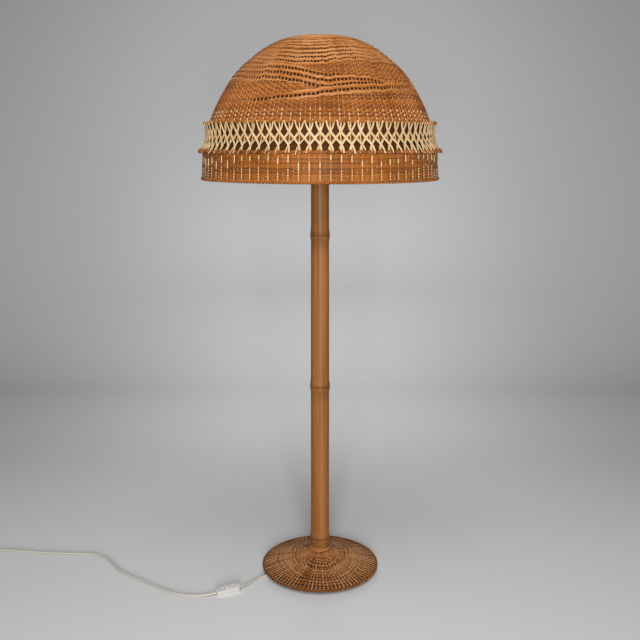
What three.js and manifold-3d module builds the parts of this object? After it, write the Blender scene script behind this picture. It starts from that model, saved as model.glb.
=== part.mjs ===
// Rattan floor lamp: a woven dome shade on a bamboo culm that stands on a woven foot.
// Millimetres, +Z up. The origin is on the floor, under the middle of the culm.

import * as THREE from 'three';
import { mergeVertices } from 'three/addons/utils/BufferGeometryUtils.js';
import Module from 'manifold-3d';

const wasm = await Module();
wasm.setup();

const TURN = 2 * Math.PI;

// Fits that every piece shares
const fit = {
  seat: 0.3, // between a piece and what carries it
  run: 0.4, // between a shaft and its hole, on the radius
  overrun: 5, // how far a cutter runs past what it cuts
};

// Foot: felt, cast weight, woven cover and its rolled border
const felt = { inset: 8, holeInset: 2, thickness: 2.7, facets: 24 };
const weight = {
  inset: 37.5, // how far inside the cover's rim it ends
  bossRadius: 55, bossGap: 5.52, recessRadius: 28, recessHeight: 21, edgeRound: 3,
  grooveWidth: 7.6, grooveHeight: 7, facets: 24,
};
const cover = {
  radius: 149.5, neckHeight: 57, rimHeight: 15, wall: 3.4,
  courseRise: 0.9, courses: 6, innerSteps: 4, facets: 36,
  undersideSteps: 200,
};
// Share of the way out from neck to rim, and share of the height above the rim
const coverShares = [
  [0, 1], [0.015, 0.9], [0.073, 0.77], [0.19, 0.64], [0.383, 0.52],
  [0.593, 0.38], [0.8, 0.21], [0.953, 0.08], [1, 0],
];
const footBorder = { lap: 0.5, drop: 3, thickness: 10, sides: 4, steps: 44, twist: 22 };

// Culm: bamboo with close root nodes, drilled at its diaphragms
const culm = {
  topHeight: 1125, footRadius: 24.9, topRadius: 22.3, boreRadius: 17, facets: 16,
  nodeShares: [0.0533, 0.4461, 0.8108], // how far up the culm each node is
  nodeRise: 2, nodeReach: 15, grooveDepth: 1.1, grooveWidth: 1.8, diaphragm: 5, rootLength: 68.7,
  hollowNodes: 2, // how many of the upper nodes close a hollow internode
};
const topPlug = { depth: 26, flange: 3, flangeRadius: 21.6, facets: 16 };

// Through rod with its nuts
const rod = { wall: 1.6, clearance: 0.6, below: 9, above: 13, facets: 12 };
const rodNut = { across: 17, thickness: 5, sides: 6 };
const rodWasher = { radius: 11, thickness: 1.6, facets: 16 };

// Lamp holder, measured up from its own foot
const holder = {
  radius: 19.8, wall: 1.8, capHeight: 20, capHub: 9, capHubHeight: 3, capFlare: 11,
  capFloor: 6, bodyHeight: 37.5, shellClearance: 0.6, shellWall: 0.6, shellHeight: 23,
  insertHeight: 10, insertBore: 4, contactRadius: 3, contactHeight: 3.6, facets: 16,
};
const shadeRing = { radius: 27, height: 6, lowerRise: 9.5 };

// Bulb with a 27 mm Edison cap
const bulb = {
  capRadius: 13.2, capWall: 0.6, capHeight: 20.5, tipRadius: 2.5, tipHeight: 4.6,
  insulatorRadius: 8, glassRadius: 30, glassHeight: 80, glassWall: 1.6, neckDepth: 11, facets: 14,
};
// Share of the glass radius, and share of the glass height above the cap
const glassShares = [
  [0.41, 0.045], [0.56, 0.19], [0.87, 0.4], [1, 0.6], [0.92, 0.795], [0.6, 0.943],
];

// Shade: woven dome, cane trellis, woven skirt and their borders. The dome's foot is measured up
// from the frame's hub, and what hangs below it is measured down from there.
const shade = { columns: 78, wall: 5, courseRise: 0.8, facets: 36 };
const dome = { radius: 271, height: 203, rise: 32.3, innerSteps: 5 };
// Share of the dome's radius, and share of its height above its foot
const domeShares = [
  [1, 0], [0.951, 0.157], [0.896, 0.296], [0.832, 0.436], [0.755, 0.575],
  [0.642, 0.713], [0.5, 0.852], [0.333, 0.953], [0.165, 0.991], [0, 1],
];
// Heights of its woven parts along its outline: smooth bands stand proud of the open rows between
// them. Lenses of short rows tilt what lies above and below them.
const domeWeave = {
  footRows: 43.5, band: 10.4, openRow: 3.6, footLens: 29, lens: 60, crownRows: 120, relief: 2,
  leastLens: 0.06,
};
// Where each lens begins, in degrees round from the front, and how many degrees it covers
const footLenses = [[-10, 130], [170, 120]];
const lowerBandLenses = [[-45, 130], [135, 130]];
const lowLenses = [[-140, 143], [70, 110]];
const middleBandLenses = [[-170, 215], [60, 115]];
const highLenses = [[-16, 140], [150, 130]];
const skirt = { height: 61.8, flare: 3.3, courses: 3 };
const rimBorder = { outset: 0.6, thickness: 6.4, sides: 4, steps: 52, twist: 26 };

// Borders that carry the trellis: the size of each section, and how far its inner edge lies in from
// the edge that it follows
const upperBorder = { width: 9.6, height: 7.2, inset: 0.4 };
const lowerBorder = { width: 9.4, height: 8.1, inset: 4.4 };
const stakeHoop = { width: 3, height: 4, inset: 3.8, drop: 2.8 };
// Their outlines in shares of width and height. The first two points are the face that the canes
// come out of.
const upperBorderShares = [[0.5, 0], [1, 0], [0.83, 1], [0, 1]];
const lowerBorderShares = [[0, 1], [0.38, 1], [1, 0.58], [0.38, 0]];
const stakeHoopShares = [[0, 0], [1, 0], [0.27, 1]];
const lashing = 1.5; // how far the lower border swells where a cane leaves it
const cane = { width: 3.3, thickness: 1.9, layer: 3.2 };
const trellis = {
  height: 71, spread: 21, // from the dome's foot to the skirt's top, down and out
  footOut: 2.2, stakeInset: 4.4, weaver: 2.4, weaverSteps: 39,
  // Shares of a column that a cane runs sideways above and below the place where two cross
  topShare: 0.3, footShare: 1.26,
  // Shares of the way out and down at which they cross, and of the way down to the weaver
  crossOutShare: 0.275, crossDownShare: 0.307, weaverShare: 0.48,
};

// Steel frame inside the shade
const frame = {
  wire: 3.6, sides: 3, arms: 3, facets: 24, hubRim: 5, hubThickness: 2.3,
  skirtDrop: 4, rimRise: 3.8, // the two lower hoops, from the skirt's top and from its foot
  bulgeOutShare: 0.316, bulgeDownShare: 0.48, // where the struts bend, between dome and skirt
};

// Supply cord
const cord = { diameter: 6, sides: 8, leadDiameter: 5.6, leadBend: 10, bendSteps: 4 };
const exitAngle = (201.5 / 360) * TURN; // where the cord leaves the foot, round from +X
const gland = { inset: 4.3, innerWall: 1.4, outerWall: 0.7, fall: 2.3, facets: 10 };
// Points chosen by hand along the floor, from the gland to the switch
const nearRoute = [
  [-144.6, -57.1, 3.5], [-153.5, -61.5, 3.1], [-163.5, -69.4, 3.1], [-174.5, -82, 3.1],
  [-184.5, -94.5, 3.1], [-193, -105.5, 3.6], [-201.5, -116.5, 5.6],
];
// Points chosen by hand from the switch to the coil
const farRoute = [
  [-278, -156.6, 6.4], [-289, -157.6, 4.3], [-303, -158.4, 3.1], [-332, -160.3, 3.1],
  [-369.5, -152.9, 3.1], [-392.7, -140.5, 3.1], [-426.8, -118.3, 3.1], [-468.9, -88.8, 3.1],
  [-512.5, -58.1, 3.1], [-547.5, -27.1, 3.1], [-570.6, 3.1, 3.1], [-593.8, 32.9, 3.1],
  [-618.2, 52.8, 3.1], [-643.7, 63.5, 3.1], [-680.6, 66.5, 3.1], [-720, 68, 3.1],
  [-765, 71.5, 3.1], [-810, 76.5, 3.1], [-855, 82.5, 3.1], [-900, 88, 3.2],
  [-928, 90, 3.9], [-945, 90, 4.15],
];
const farSteps = 48;
const nearSteps = 10;
const coil = {
  x: -960, y: 47.3, innerRadius: 24.7, turnGap: 1.58, layerGap: 0.7, layerTurns: 2.375,
  climbTurns: 0.5, floorGap: 1.15, stepsPerTurn: 24, sides: 6, straight: 6,
  gapSamples: 4, gapDiameters: 4, // how finely, and how far along, turns are measured apart
};
const tie = { width: 6, thickness: 0.8, clearance: 0.5, angle: (318 / 360) * TURN };
const tail = { run: 36, straight: 5, steps: 5 };

// Inline switch on the cord
const switchBox = {
  x: -239.5, y: -139, angle: (207.5 / 360) * TURN, length: 66, width: 25, split: 7.5,
  coverHeight: 7.5, wall: 1.8, endRadius: 9, bevel: 2.2, cornerSteps: 2,
};
const rocker = {
  length: 17, width: 9, sideGap: 0.5, endGap: 0.9, endRise: 1.7, skirtDrop: 2.6, footShare: 0.333,
  travelDegrees: 12,
  trunnion: 1.3, trunnionLength: 1.6, pivotDepth: 3.8, cheek: 2, cheekDrop: 5.6, facets: 8,
};
const switchScrew = { radius: 2.6, depth: 2.4, slotWidth: 0.8, slotDepth: 0.9, place: 24, facets: 10 };

// Flat two-pin plug
const plug = {
  length: 35, width: 25.5, thickness: 13.5, rearShare: 0.42, shoulderShare: 0.42,
  neckLength: 9, neckRadius: 4.6, neckTipRadius: 3.9, pinPitch: 18.6, pinRadius: 2,
  pinLength: 19, facets: 10,
};

// Materials
const surface = (color, roughness, metalness = 0) =>
  new THREE.MeshStandardMaterial({ color, roughness, metalness });
const finish = {
  rattan: surface(0xa5612c, 0.6),
  cane: surface(0xe6c58c, 0.55),
  bamboo: surface(0xa8733f, 0.5),
  timber: surface(0xb98d5a, 0.65),
  iron: surface(0x2e2d2b, 0.7, 0.6),
  felt: surface(0x3b3a36, 0.95),
  steel: surface(0xb4b4b0, 0.35, 0.9),
  brass: surface(0xc9a45a, 0.3, 0.9),
  bakelite: surface(0x1d1a18, 0.4),
  porcelain: surface(0xefece4, 0.35),
  opal: surface(0xf6f2e6, 0.3),
  white: surface(0xeeeae0, 0.42),
  cord: surface(0xe2dac6, 0.5),
};

const model = new THREE.Group();

// Adds one named piece to the lamp, or to a group of its own
function piece(name, geometry, material, parent = model) {
  const mesh = new THREE.Mesh(geometry, material);
  mesh.name = name;
  parent.add(mesh);
  return mesh;
}

// Closed surface to solid, and back
function solidOf(geometry) {
  const bare = geometry.clone();
  bare.deleteAttribute('normal');
  bare.deleteAttribute('uv');
  const merged = mergeVertices(bare, 1e-3);
  return new wasm.Manifold(new wasm.Mesh({
    numProp: 3,
    vertProperties: merged.attributes.position.array,
    triVerts: new Uint32Array(merged.index.array),
  }));
}

function geometryOf(solid) {
  const mesh = solid.getMesh();
  const points = new Float32Array(mesh.numVert * 3);
  for (let i = 0; i < mesh.numVert; i++) {
    points.set(mesh.vertProperties.subarray(i * mesh.numProp, i * mesh.numProp + 3), i * 3);
  }
  return new THREE.BufferGeometry()
    .setAttribute('position', new THREE.BufferAttribute(points, 3))
    .setIndex(new THREE.BufferAttribute(mesh.triVerts, 1));
}

const join = (...geometries) =>
  geometryOf(geometries.map(solidOf).reduce((whole, next) => whole.add(next)));

const cut = (geometry, ...cutters) =>
  geometryOf(cutters.map(solidOf).reduce((whole, next) => whole.subtract(next), solidOf(geometry)));

// Signed area of a closed outline, positive when it runs anticlockwise
function areaOf(outline) {
  return outline.reduce((sum, [x, y], i) => {
    const [nextX, nextY] = outline[(i + 1) % outline.length];
    return sum + (x * nextY - nextX * y) / 2;
  }, 0);
}

// Revolves a profile of [radius, height] points about Z. A profile that leaves the axis closes on itself.
function revolve(profile, facets) {
  const onAxis = profile[0][0] === 0 && profile[profile.length - 1][0] === 0;
  const turned = areaOf(profile) < 0 ? [...profile].reverse() : [...profile];
  if (!onAxis) turned.push(turned[0]);
  const points = turned.map(([radius, height]) => new THREE.Vector2(radius, height));
  return new THREE.LatheGeometry(points, facets).rotateX(TURN / 4);
}

// A closed body from points and triangles, turned so that its faces point out
function bodyOf(points, index) {
  const geometry = new THREE.BufferGeometry()
    .setAttribute('position', new THREE.Float32BufferAttribute(points.flatMap((p) => [p.x, p.y, p.z]), 3))
    .setIndex(index);
  if (volumeOf(geometry) < 0) geometry.setIndex(index.reverse());
  return geometry;
}

// Triangles without those that have one corner twice, as at a cap's middle
function withoutFlat(index) {
  const kept = [];
  for (let i = 0; i < index.length; i += 3) {
    const corners = index.slice(i, i + 3);
    if (new Set(corners).size === 3) kept.push(...corners);
  }
  return kept;
}

// Triangles of the band between two rings of the same count, each given by its corners' numbers
function bandBetween(low, high) {
  return low.flatMap((corner, j) => {
    const next = (j + 1) % low.length;
    return [corner, low[next], high[j], high[j], low[next], high[next]];
  });
}

const countFrom = (start, count) => Array.from({ length: count }, (_, i) => start + i);

// Skins rings of points into one closed body. Closed rings join end to end, and open ones get caps.
function loft(rings, closed = false) {
  const sides = rings[0].length;
  const numbers = rings.map((_, i) => countFrom(i * sides, sides));
  const index = [];
  for (let i = 0; i + 1 < rings.length; i++) index.push(...bandBetween(numbers[i], numbers[i + 1]));
  const last = numbers[rings.length - 1];
  if (closed) {
    index.push(...bandBetween(last, numbers[0]));
  } else {
    for (let j = 1; j < sides - 1; j++) {
      index.push(0, j + 1, j, last[0], last[j], last[j + 1]);
    }
  }
  return bodyOf(rings.flat(), index);
}

function volumeOf(geometry) {
  const place = geometry.getAttribute('position');
  const corner = (i) => new THREE.Vector3().fromBufferAttribute(place, geometry.index.getX(i));
  let sum = 0;
  for (let i = 0; i < geometry.index.count; i += 3) {
    sum += corner(i).dot(corner(i + 1).cross(corner(i + 2))) / 6;
  }
  return sum;
}

// Distance from the axis to the middle of a facet, and the radius of a bore that a shaft turns in
const flatRadius = (radius, facets) => radius * Math.cos(TURN / (2 * facets));
const clearBore = (radius, facets) => (radius + fit.run) / Math.cos(TURN / (2 * facets));

// Section points as [sideways, outward] offsets
const roundSection = (radius, sides) =>
  Array.from({ length: sides }, (_, i) => [
    radius * Math.cos((i * TURN) / sides), radius * Math.sin((i * TURN) / sides),
  ]);
const caneSection = (width, thickness) => [
  [-width / 2, -thickness / 2], [width / 2, -thickness / 2], [0, thickness / 2],
];

// Rings of a section along points. Outward is a direction, or a function of the point.
function ringsAlong(points, section, outward, closed = false) {
  const last = points.length - 1;
  return points.map((point, i) => {
    const before = points[closed ? (i + last) % points.length : Math.max(i - 1, 0)];
    const after = points[closed ? (i + 1) % points.length : Math.min(i + 1, last)];
    const along = after.clone().sub(before).normalize();
    const wish = typeof outward === 'function' ? outward(point) : outward;
    const side = along.clone().cross(wish).normalize();
    const out = side.clone().cross(along).normalize();
    const offsets = typeof section === 'function' ? section(i) : section;
    return offsets.map(([across, up]) =>
      point.clone().addScaledVector(side, across).addScaledVector(out, up));
  });
}

const radial = (point) => new THREE.Vector3(point.x, point.y, 0).normalize();
const upward = new THREE.Vector3(0, 0, 1);
const polar = (radius, angle, height) =>
  new THREE.Vector3(radius * Math.cos(angle), radius * Math.sin(angle), height);

const tube = (points, section, outward = upward) => loft(ringsAlong(points, section, outward));

// A ring about Z whose section may change and turn from step to step
function hoopOf(radius, height, steps, section) {
  const points = Array.from({ length: steps }, (_, i) => polar(radius, (i * TURN) / steps, height));
  return loft(ringsAlong(points, section, radial, true), true);
}

// A rod along Z with its middle at the origin
const pin = (radius, length, facets) =>
  revolve([[0, -length / 2], [radius, -length / 2], [radius, length / 2], [0, length / 2]], facets);

// A rolled border: a faceted ring whose section turns as it goes round, as a rope's does
function rolledBorder({ thickness, sides, steps, twist }, radius, height) {
  const section = (i) => {
    const lead = (i * twist * TURN) / (steps * sides);
    return Array.from({ length: sides }, (_, j) => [
      (thickness / 2) * Math.cos((j * TURN) / sides + lead),
      (thickness / 2) * Math.sin((j * TURN) / sides + lead),
    ]);
  };
  return hoopOf(radius, height, steps, section);
}

// Outline of a wall that follows a curve: raised courses outside, smooth inside
function wovenWall(curve, wall, rise, courses, innerSteps) {
  const offset = (share, distance) => {
    const point = curve.getPointAt(share);
    const way = curve.getTangentAt(share);
    return [Math.max(point.x - way.y * distance, 0), point.y + way.x * distance];
  };
  const outer = Array.from({ length: 2 * courses + 1 }, (_, i) =>
    offset(i / (2 * courses), i % 2 === 1 ? 0 : -rise));
  const inner = Array.from({ length: innerSteps }, (_, i) =>
    offset(1 - i / (innerSteps - 1), -wall));
  return { outer, inner };
}

const splineOf = (shares, place) =>
  new THREE.SplineCurve(shares.map(([across, up]) => new THREE.Vector2(...place(across, up))));

// Heights and radii that follow from the sizes above

const coverNeck = culm.footRadius + fit.seat + cover.wall;
const coverCurve = splineOf(coverShares, (across, up) => [
  coverNeck + across * (cover.radius - coverNeck),
  cover.rimHeight + up * (cover.neckHeight - cover.rimHeight),
]);

// Height of the cover's underside at a radius
function coverUnderside(radius) {
  for (let i = 0; i <= cover.undersideSteps; i++) {
    const point = coverCurve.getPointAt(i / cover.undersideSteps);
    if (point.x >= radius) return point.y - cover.wall;
  }
  return cover.rimHeight - cover.wall;
}

const weightFoot = felt.thickness + fit.seat;
const weightRadius = cover.radius - weight.inset;
const bossTop = coverUnderside(weight.bossRadius) - weight.bossGap;
const recessTop = weightFoot + weight.recessHeight;
const culmFoot = bossTop + fit.seat;
const plugTop = culm.topHeight + fit.seat + topPlug.flange;
const holderFoot = plugTop + fit.seat;
const leadRadius = cord.leadDiameter / 2;
const rodBore = leadRadius + rod.clearance;
const rodRadius = rodBore + rod.wall;
const holeRadius = rodRadius + fit.run;
const nutRadius = rodNut.across / 2 / Math.cos(TURN / (2 * rodNut.sides));
const halfCord = cord.diameter / 2;

// Heights above the holder's foot
const bodyFoot = holder.capHeight + fit.seat;
const ringFoot = bodyFoot + shadeRing.lowerRise;
const hubFoot = ringFoot + shadeRing.height + fit.seat;
const upperRingFoot = hubFoot + frame.hubThickness + fit.seat;
const shellFoot = bodyFoot + holder.wall + holder.insertHeight + fit.seat;
const shellInside = bulb.capRadius + holder.shellClearance;
const tipFoot = shellFoot + holder.shellWall + holder.contactHeight + 2 * fit.seat;
const capFoot = tipFoot + bulb.tipHeight + fit.seat;

// Shade, from the hub up to the dome and down to the rim
const hubHeight = holderFoot + hubFoot;
const domeFoot = hubHeight + dome.rise;
const skirtTop = domeFoot - trellis.height;
const skirtFoot = skirtTop - skirt.height;
const skirtTopRadius = dome.radius + trellis.spread;
const skirtRadius = (height) => skirtTopRadius + ((skirtTop - height) / skirt.height) * skirt.flare;
const skirtLean = Math.atan2(skirt.flare, skirt.height);
const columnAngle = TURN / shade.columns;

const outlineOf = ({ width, height }, shares, radius, foot) =>
  shares.map(([out, up]) => [radius + out * width, foot + up * height]);
const upperOutline = outlineOf(upperBorder, upperBorderShares,
  dome.radius - upperBorder.inset, domeFoot - fit.seat - upperBorder.height);
const lowerOutline = outlineOf(lowerBorder, lowerBorderShares,
  skirtTopRadius - lowerBorder.inset, skirtTop + fit.seat);
const upperFace = upperOutline[0][1];
const lowerFace = lowerOutline[0][1];
const stakeTop = upperFace - stakeHoop.drop;
const stakeBottom = skirtTop + fit.seat;
const hoopOutline = outlineOf(stakeHoop, stakeHoopShares,
  upperOutline[0][0] - stakeHoop.inset, stakeTop);

// Radius of the middle of the face that a border's canes come out of
const middleOf = (outline) => (outline[0][0] + outline[1][0]) / 2;
const caneFoot = middleOf(lowerOutline) + trellis.footOut;
const stakeFoot = skirtTopRadius - trellis.stakeInset;
const crossRadius = middleOf(upperOutline)
  + trellis.crossOutShare * (caneFoot - middleOf(upperOutline));
const crossHeight = upperFace - trellis.crossDownShare * (upperFace - lowerFace);

const exitWay = new THREE.Vector3(Math.cos(exitAngle), Math.sin(exitAngle), 0);
const coilOuter = coil.innerRadius + coil.layerTurns * (cord.diameter + coil.turnGap);
const layerRise = cord.diameter + coil.layerGap;
const switchHeight = switchBox.split + switchBox.coverHeight;
const pivotHeight = switchHeight - rocker.pivotDepth;

// Foot

function makeFelt() {
  const radius = weightRadius - felt.inset;
  const hole = weight.recessRadius + felt.holeInset;
  return revolve([
    [hole, 0], [radius, 0], [radius, felt.thickness], [hole, felt.thickness],
  ], felt.facets);
}

function makeWeight() {
  const shoulder = coverUnderside(weightRadius) - fit.seat;
  const body = revolve([
    [holeRadius, bossTop], [weight.bossRadius, bossTop],
    [weightRadius - weight.edgeRound, shoulder], [weightRadius, shoulder - weight.edgeRound],
    [weightRadius, weightFoot], [weight.recessRadius, weightFoot],
    [weight.recessRadius, recessTop], [holeRadius, recessTop],
  ], weight.facets);
  const length = weightRadius - weight.recessRadius + 2 * fit.overrun;
  const height = weight.grooveHeight + fit.overrun;
  const groove = new THREE.BoxGeometry(length, weight.grooveWidth, height)
    .translate(weight.recessRadius - fit.overrun + length / 2, 0, 0)
    .rotateZ(exitAngle)
    .translate(0, 0, weightFoot + weight.grooveHeight - height / 2);
  return cut(body, groove);
}

function makeCover() {
  const { outer, inner } = wovenWall(
    coverCurve, cover.wall, cover.courseRise, cover.courses, cover.innerSteps);
  return revolve([...outer, ...inner], cover.facets);
}

// Culm and rod

function culmRadius(height) {
  const share = (height - culmFoot) / (culm.topHeight - culmFoot);
  return culm.footRadius + share * (culm.topRadius - culm.footRadius);
}

// Outline of one node: a swelling with a narrow groove round its middle
function nodeOutline(height) {
  const at = (rise, offset) => [culmRadius(height + offset) + rise, height + offset];
  return [
    at(0, -culm.nodeReach), at(culm.nodeRise, -culm.grooveWidth),
    at(culm.nodeRise - culm.grooveDepth, 0), at(culm.nodeRise, culm.grooveWidth),
    at(0, culm.nodeReach),
  ];
}

function makeCulm() {
  const outer = [[culmRadius(culmFoot), culmFoot]];
  const nodeHeights = culm.nodeShares.map((share) => culmFoot + share * (culm.topHeight - culmFoot));
  for (const height of nodeHeights) outer.push(...nodeOutline(height));
  outer.push([culm.topRadius, culm.topHeight]);
  const inner = [[culm.boreRadius, culm.topHeight]];
  const hollow = nodeHeights.slice(-culm.hollowNodes).reverse();
  for (const height of hollow) {
    inner.push([culm.boreRadius, height + culm.diaphragm / 2]);
    inner.push([holeRadius, height + culm.diaphragm / 2]);
    inner.push([holeRadius, height - culm.diaphragm / 2]);
    inner.push([culm.boreRadius, height - culm.diaphragm / 2]);
  }
  const rootTop = culmFoot + culm.rootLength;
  inner.push([culm.boreRadius, rootTop], [holeRadius, rootTop], [holeRadius, culmFoot]);
  return revolve([...outer, ...inner], culm.facets);
}

function makeTopPlug() {
  const seat = culm.topHeight + fit.seat;
  const radius = culm.boreRadius - fit.seat;
  return revolve([
    [holeRadius, culm.topHeight - topPlug.depth], [radius, culm.topHeight - topPlug.depth],
    [radius, seat], [topPlug.flangeRadius, seat], [topPlug.flangeRadius, plugTop],
    [holeRadius, plugTop],
  ], topPlug.facets);
}

function makeRod() {
  const foot = recessTop - rod.below;
  const top = holderFoot + rod.above;
  return revolve([
    [rodBore, foot], [rodRadius, foot], [rodRadius, top], [rodBore, top],
  ], rod.facets);
}

// A six-sided nut with its hole, standing on height
function makeNut(height) {
  const middle = rodNut.thickness / 2;
  const hole = pin(holeRadius, 2 * rodNut.thickness, rod.facets);
  return cut(pin(nutRadius, rodNut.thickness, rodNut.sides), hole).translate(0, 0, height + middle);
}

function makeWasher() {
  const top = recessTop - fit.seat;
  return revolve([
    [holeRadius, top - rodWasher.thickness], [rodWasher.radius, top - rodWasher.thickness],
    [rodWasher.radius, top], [holeRadius, top],
  ], rodWasher.facets);
}

// Lamp holder and bulb, all on heights above the holder's foot

const lift = (profile) => profile.map(([radius, height]) => [radius, height + holderFoot]);

function makeHolderCap() {
  const inside = holder.radius - holder.wall;
  return revolve(lift([
    [holeRadius, 0], [holder.capHub, 0], [holder.capHub, holder.capHubHeight],
    [holder.radius, holder.capFlare + holder.wall], [holder.radius, holder.capHeight],
    [inside, holder.capHeight], [inside, holder.capFlare + holder.wall],
    [nutRadius + fit.run, holder.capFloor], [holeRadius, holder.capFloor],
  ]), holder.facets);
}

function makeHolderBody() {
  const inside = holder.radius - holder.wall;
  const top = bodyFoot + holder.bodyHeight;
  return revolve(lift([
    [holder.insertBore, bodyFoot], [holder.radius, bodyFoot], [holder.radius, top],
    [inside, top], [inside, bodyFoot + holder.wall], [holder.insertBore, bodyFoot + holder.wall],
  ]), holder.facets);
}

function makeHolderInsert() {
  const foot = bodyFoot + holder.wall + fit.seat;
  const radius = holder.radius - holder.wall - fit.seat;
  return revolve(lift([
    [0, foot], [radius, foot], [radius, foot + holder.insertHeight - fit.seat],
    [0, foot + holder.insertHeight - fit.seat],
  ]), holder.facets);
}

function makeScrewShell() {
  const outside = shellInside + holder.shellWall;
  const foot = shellFoot + fit.seat;
  const top = foot + holder.shellHeight;
  const hole = holder.contactRadius + 2 * fit.run;
  return revolve(lift([
    [hole, foot], [outside, foot], [outside, top], [shellInside, top],
    [shellInside, foot + holder.shellWall], [hole, foot + holder.shellWall],
  ]), holder.facets);
}

// A bent spring tongue, seen from the side, that the bulb's tip presses on
function makeContact() {
  const foot = shellFoot + fit.seat;
  const top = tipFoot - fit.seat;
  const half = holder.contactRadius;
  const leaf = holder.shellWall;
  const side = new THREE.Shape([
    [-half, foot], [half, foot], [half, foot + leaf], [-half + leaf, foot + leaf],
    [half, top - leaf], [half, top], [0, top], [-half, foot + 2 * leaf],
  ].map(([x, z]) => new THREE.Vector2(x, z)));
  const width = holder.contactRadius;
  return new THREE.ExtrudeGeometry(side, { depth: width, bevelEnabled: false })
    .translate(0, 0, -width / 2).rotateX(TURN / 4).translate(0, 0, holderFoot);
}

function makeShadeRing(foot) {
  const bore = holder.radius + fit.seat;
  return revolve(lift([
    [bore, foot], [shadeRing.radius, foot], [shadeRing.radius, foot + shadeRing.height],
    [bore, foot + shadeRing.height],
  ]), holder.facets);
}

function makeBulbTip() {
  return revolve(lift([
    [0, tipFoot], [bulb.tipRadius, tipFoot], [bulb.insulatorRadius, tipFoot + bulb.tipHeight / 2],
    [bulb.insulatorRadius, tipFoot + bulb.tipHeight], [0, tipFoot + bulb.tipHeight],
  ]), bulb.facets);
}

function makeBulbCap() {
  const inside = bulb.capRadius - bulb.capWall;
  const hole = bulb.insulatorRadius - fit.run;
  const slope = bulb.tipHeight / 2;
  return revolve(lift([
    [hole, capFoot], [inside - slope, capFoot], [bulb.capRadius, capFoot + slope],
    [bulb.capRadius, capFoot + bulb.capHeight], [inside, capFoot + bulb.capHeight],
    [inside, capFoot + slope + bulb.capWall], [hole, capFoot + bulb.capWall],
  ]), bulb.facets);
}

function makeBulbGlass() {
  const capTop = capFoot + bulb.capHeight;
  const foot = capTop - bulb.neckDepth;
  const top = capTop + bulb.glassHeight;
  const place = (wall) => glassShares.map(([across, up]) => [
    across * (bulb.glassRadius - wall), capTop + up * (bulb.glassHeight - wall),
  ]);
  const neck = bulb.capRadius - bulb.capWall - fit.run;
  return revolve(lift([
    [neck, foot], [neck, capTop], ...place(0), [0, top], [0, top - bulb.glassWall],
    ...place(bulb.glassWall).reverse(), [neck - bulb.glassWall, capTop],
    [neck - bulb.glassWall, foot],
  ]), bulb.facets);
}

// Shade

const domeCurve = splineOf(domeShares, (across, up) => [
  across * dome.radius, domeFoot + up * dome.height,
]);

// The dome's layers from foot to crown: each has its height, how far its middle lies in front of
// the plain rows' face, and the lenses that it fills, or none where it goes all round
const bandsOf = (count, lenses) => Array.from({ length: count }, () => [
  { height: domeWeave.band, proud: domeWeave.relief / 2, lenses },
  { height: domeWeave.openRow, proud: -domeWeave.relief / 2, lenses },
]).flat();
const plainRows = (height, lenses) => ({ height, proud: 0, lenses });
const domeLayers = [
  plainRows(domeWeave.footRows), plainRows(domeWeave.footLens, footLenses),
  ...bandsOf(2, lowerBandLenses), plainRows(domeWeave.lens, lowLenses),
  ...bandsOf(4, middleBandLenses), plainRows(domeWeave.lens, highLenses), ...bandsOf(5),
  plainRows(domeWeave.crownRows / 2), plainRows(domeWeave.crownRows / 2),
];

// Thickness of the lenses at an angle about Z, from almost nothing to 1
function lensShare(lenses, angle) {
  const fromFront = angle + TURN / 4;
  const thicknesses = lenses.map(([start, covered]) => {
    const turned = THREE.MathUtils.euclideanModulo(fromFront - (start / 360) * TURN, TURN);
    return Math.sin((Math.min(turned / ((covered / 360) * TURN), 1) * TURN) / 2);
  });
  return Math.max(...thicknesses, domeWeave.leastLens);
}

// Outline of the dome at an angle, from foot to crown, with a point at the middle of each layer
function domeOutline(angle) {
  const shares = domeLayers.map(({ lenses }) => (lenses ? lensShare(lenses, angle) : 1));
  const heights = domeLayers.map(({ height }, i) => height * shares[i]);
  const whole = heights.reduce((sum, height) => sum + height, 0);
  let foot = 0;
  return heights.map((height, i) => {
    const share = (foot + height / 2) / whole;
    foot += height;
    const point = domeCurve.getPointAt(share);
    const way = domeCurve.getTangentAt(share);
    const depth = domeWeave.relief / 2 - domeLayers[i].proud * shares[i];
    return [point.x - way.y * depth, point.y + way.x * depth];
  });
}

// The dome's wall: its layers outside, smooth inside, closed at the crown by two fans
function makeDome() {
  const curve = new THREE.SplineCurve([...domeCurve.points].reverse());
  const { outer, inner } = wovenWall(curve, shade.wall, shade.courseRise, 1, dome.innerSteps);
  const [crown, , foot] = outer;
  const underCrown = inner.pop();
  const outlines = countFrom(0, shade.facets).map((j) => [
    foot, ...domeOutline((j * TURN) / shade.facets)].reverse().concat(inner));
  const rings = outlines[0].map((_, k) => outlines.map((outline, j) =>
    polar(outline[k][0], (j * TURN) / shade.facets, outline[k][1])));
  const points = [polar(0, 0, crown[1]), ...rings.flat(), polar(0, 0, underCrown[1])];
  const everywhere = (corner) => rings[0].map(() => corner);
  const numbers = [
    everywhere(0), ...rings.map((_, k) => countFrom(1 + k * shade.facets, shade.facets)),
    everywhere(points.length - 1),
  ];
  const faces = numbers.slice(1).flatMap((ring, k) => bandBetween(numbers[k], ring));
  return bodyOf(points, withoutFlat(faces));
}

function makeSkirt() {
  const curve = new THREE.LineCurve(
    new THREE.Vector2(skirtTopRadius, skirtTop),
    new THREE.Vector2(skirtRadius(skirtFoot), skirtFoot));
  const { outer, inner } = wovenWall(curve, shade.wall, shade.courseRise, skirt.courses, 2);
  return revolve([...outer, ...inner], shade.facets);
}

function makeRimBorder() {
  const radius = skirtRadius(skirtFoot) - shade.wall / 2 + rimBorder.outset;
  return rolledBorder(rimBorder, radius, skirtFoot - fit.seat - rimBorder.thickness / 2);
}

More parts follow.
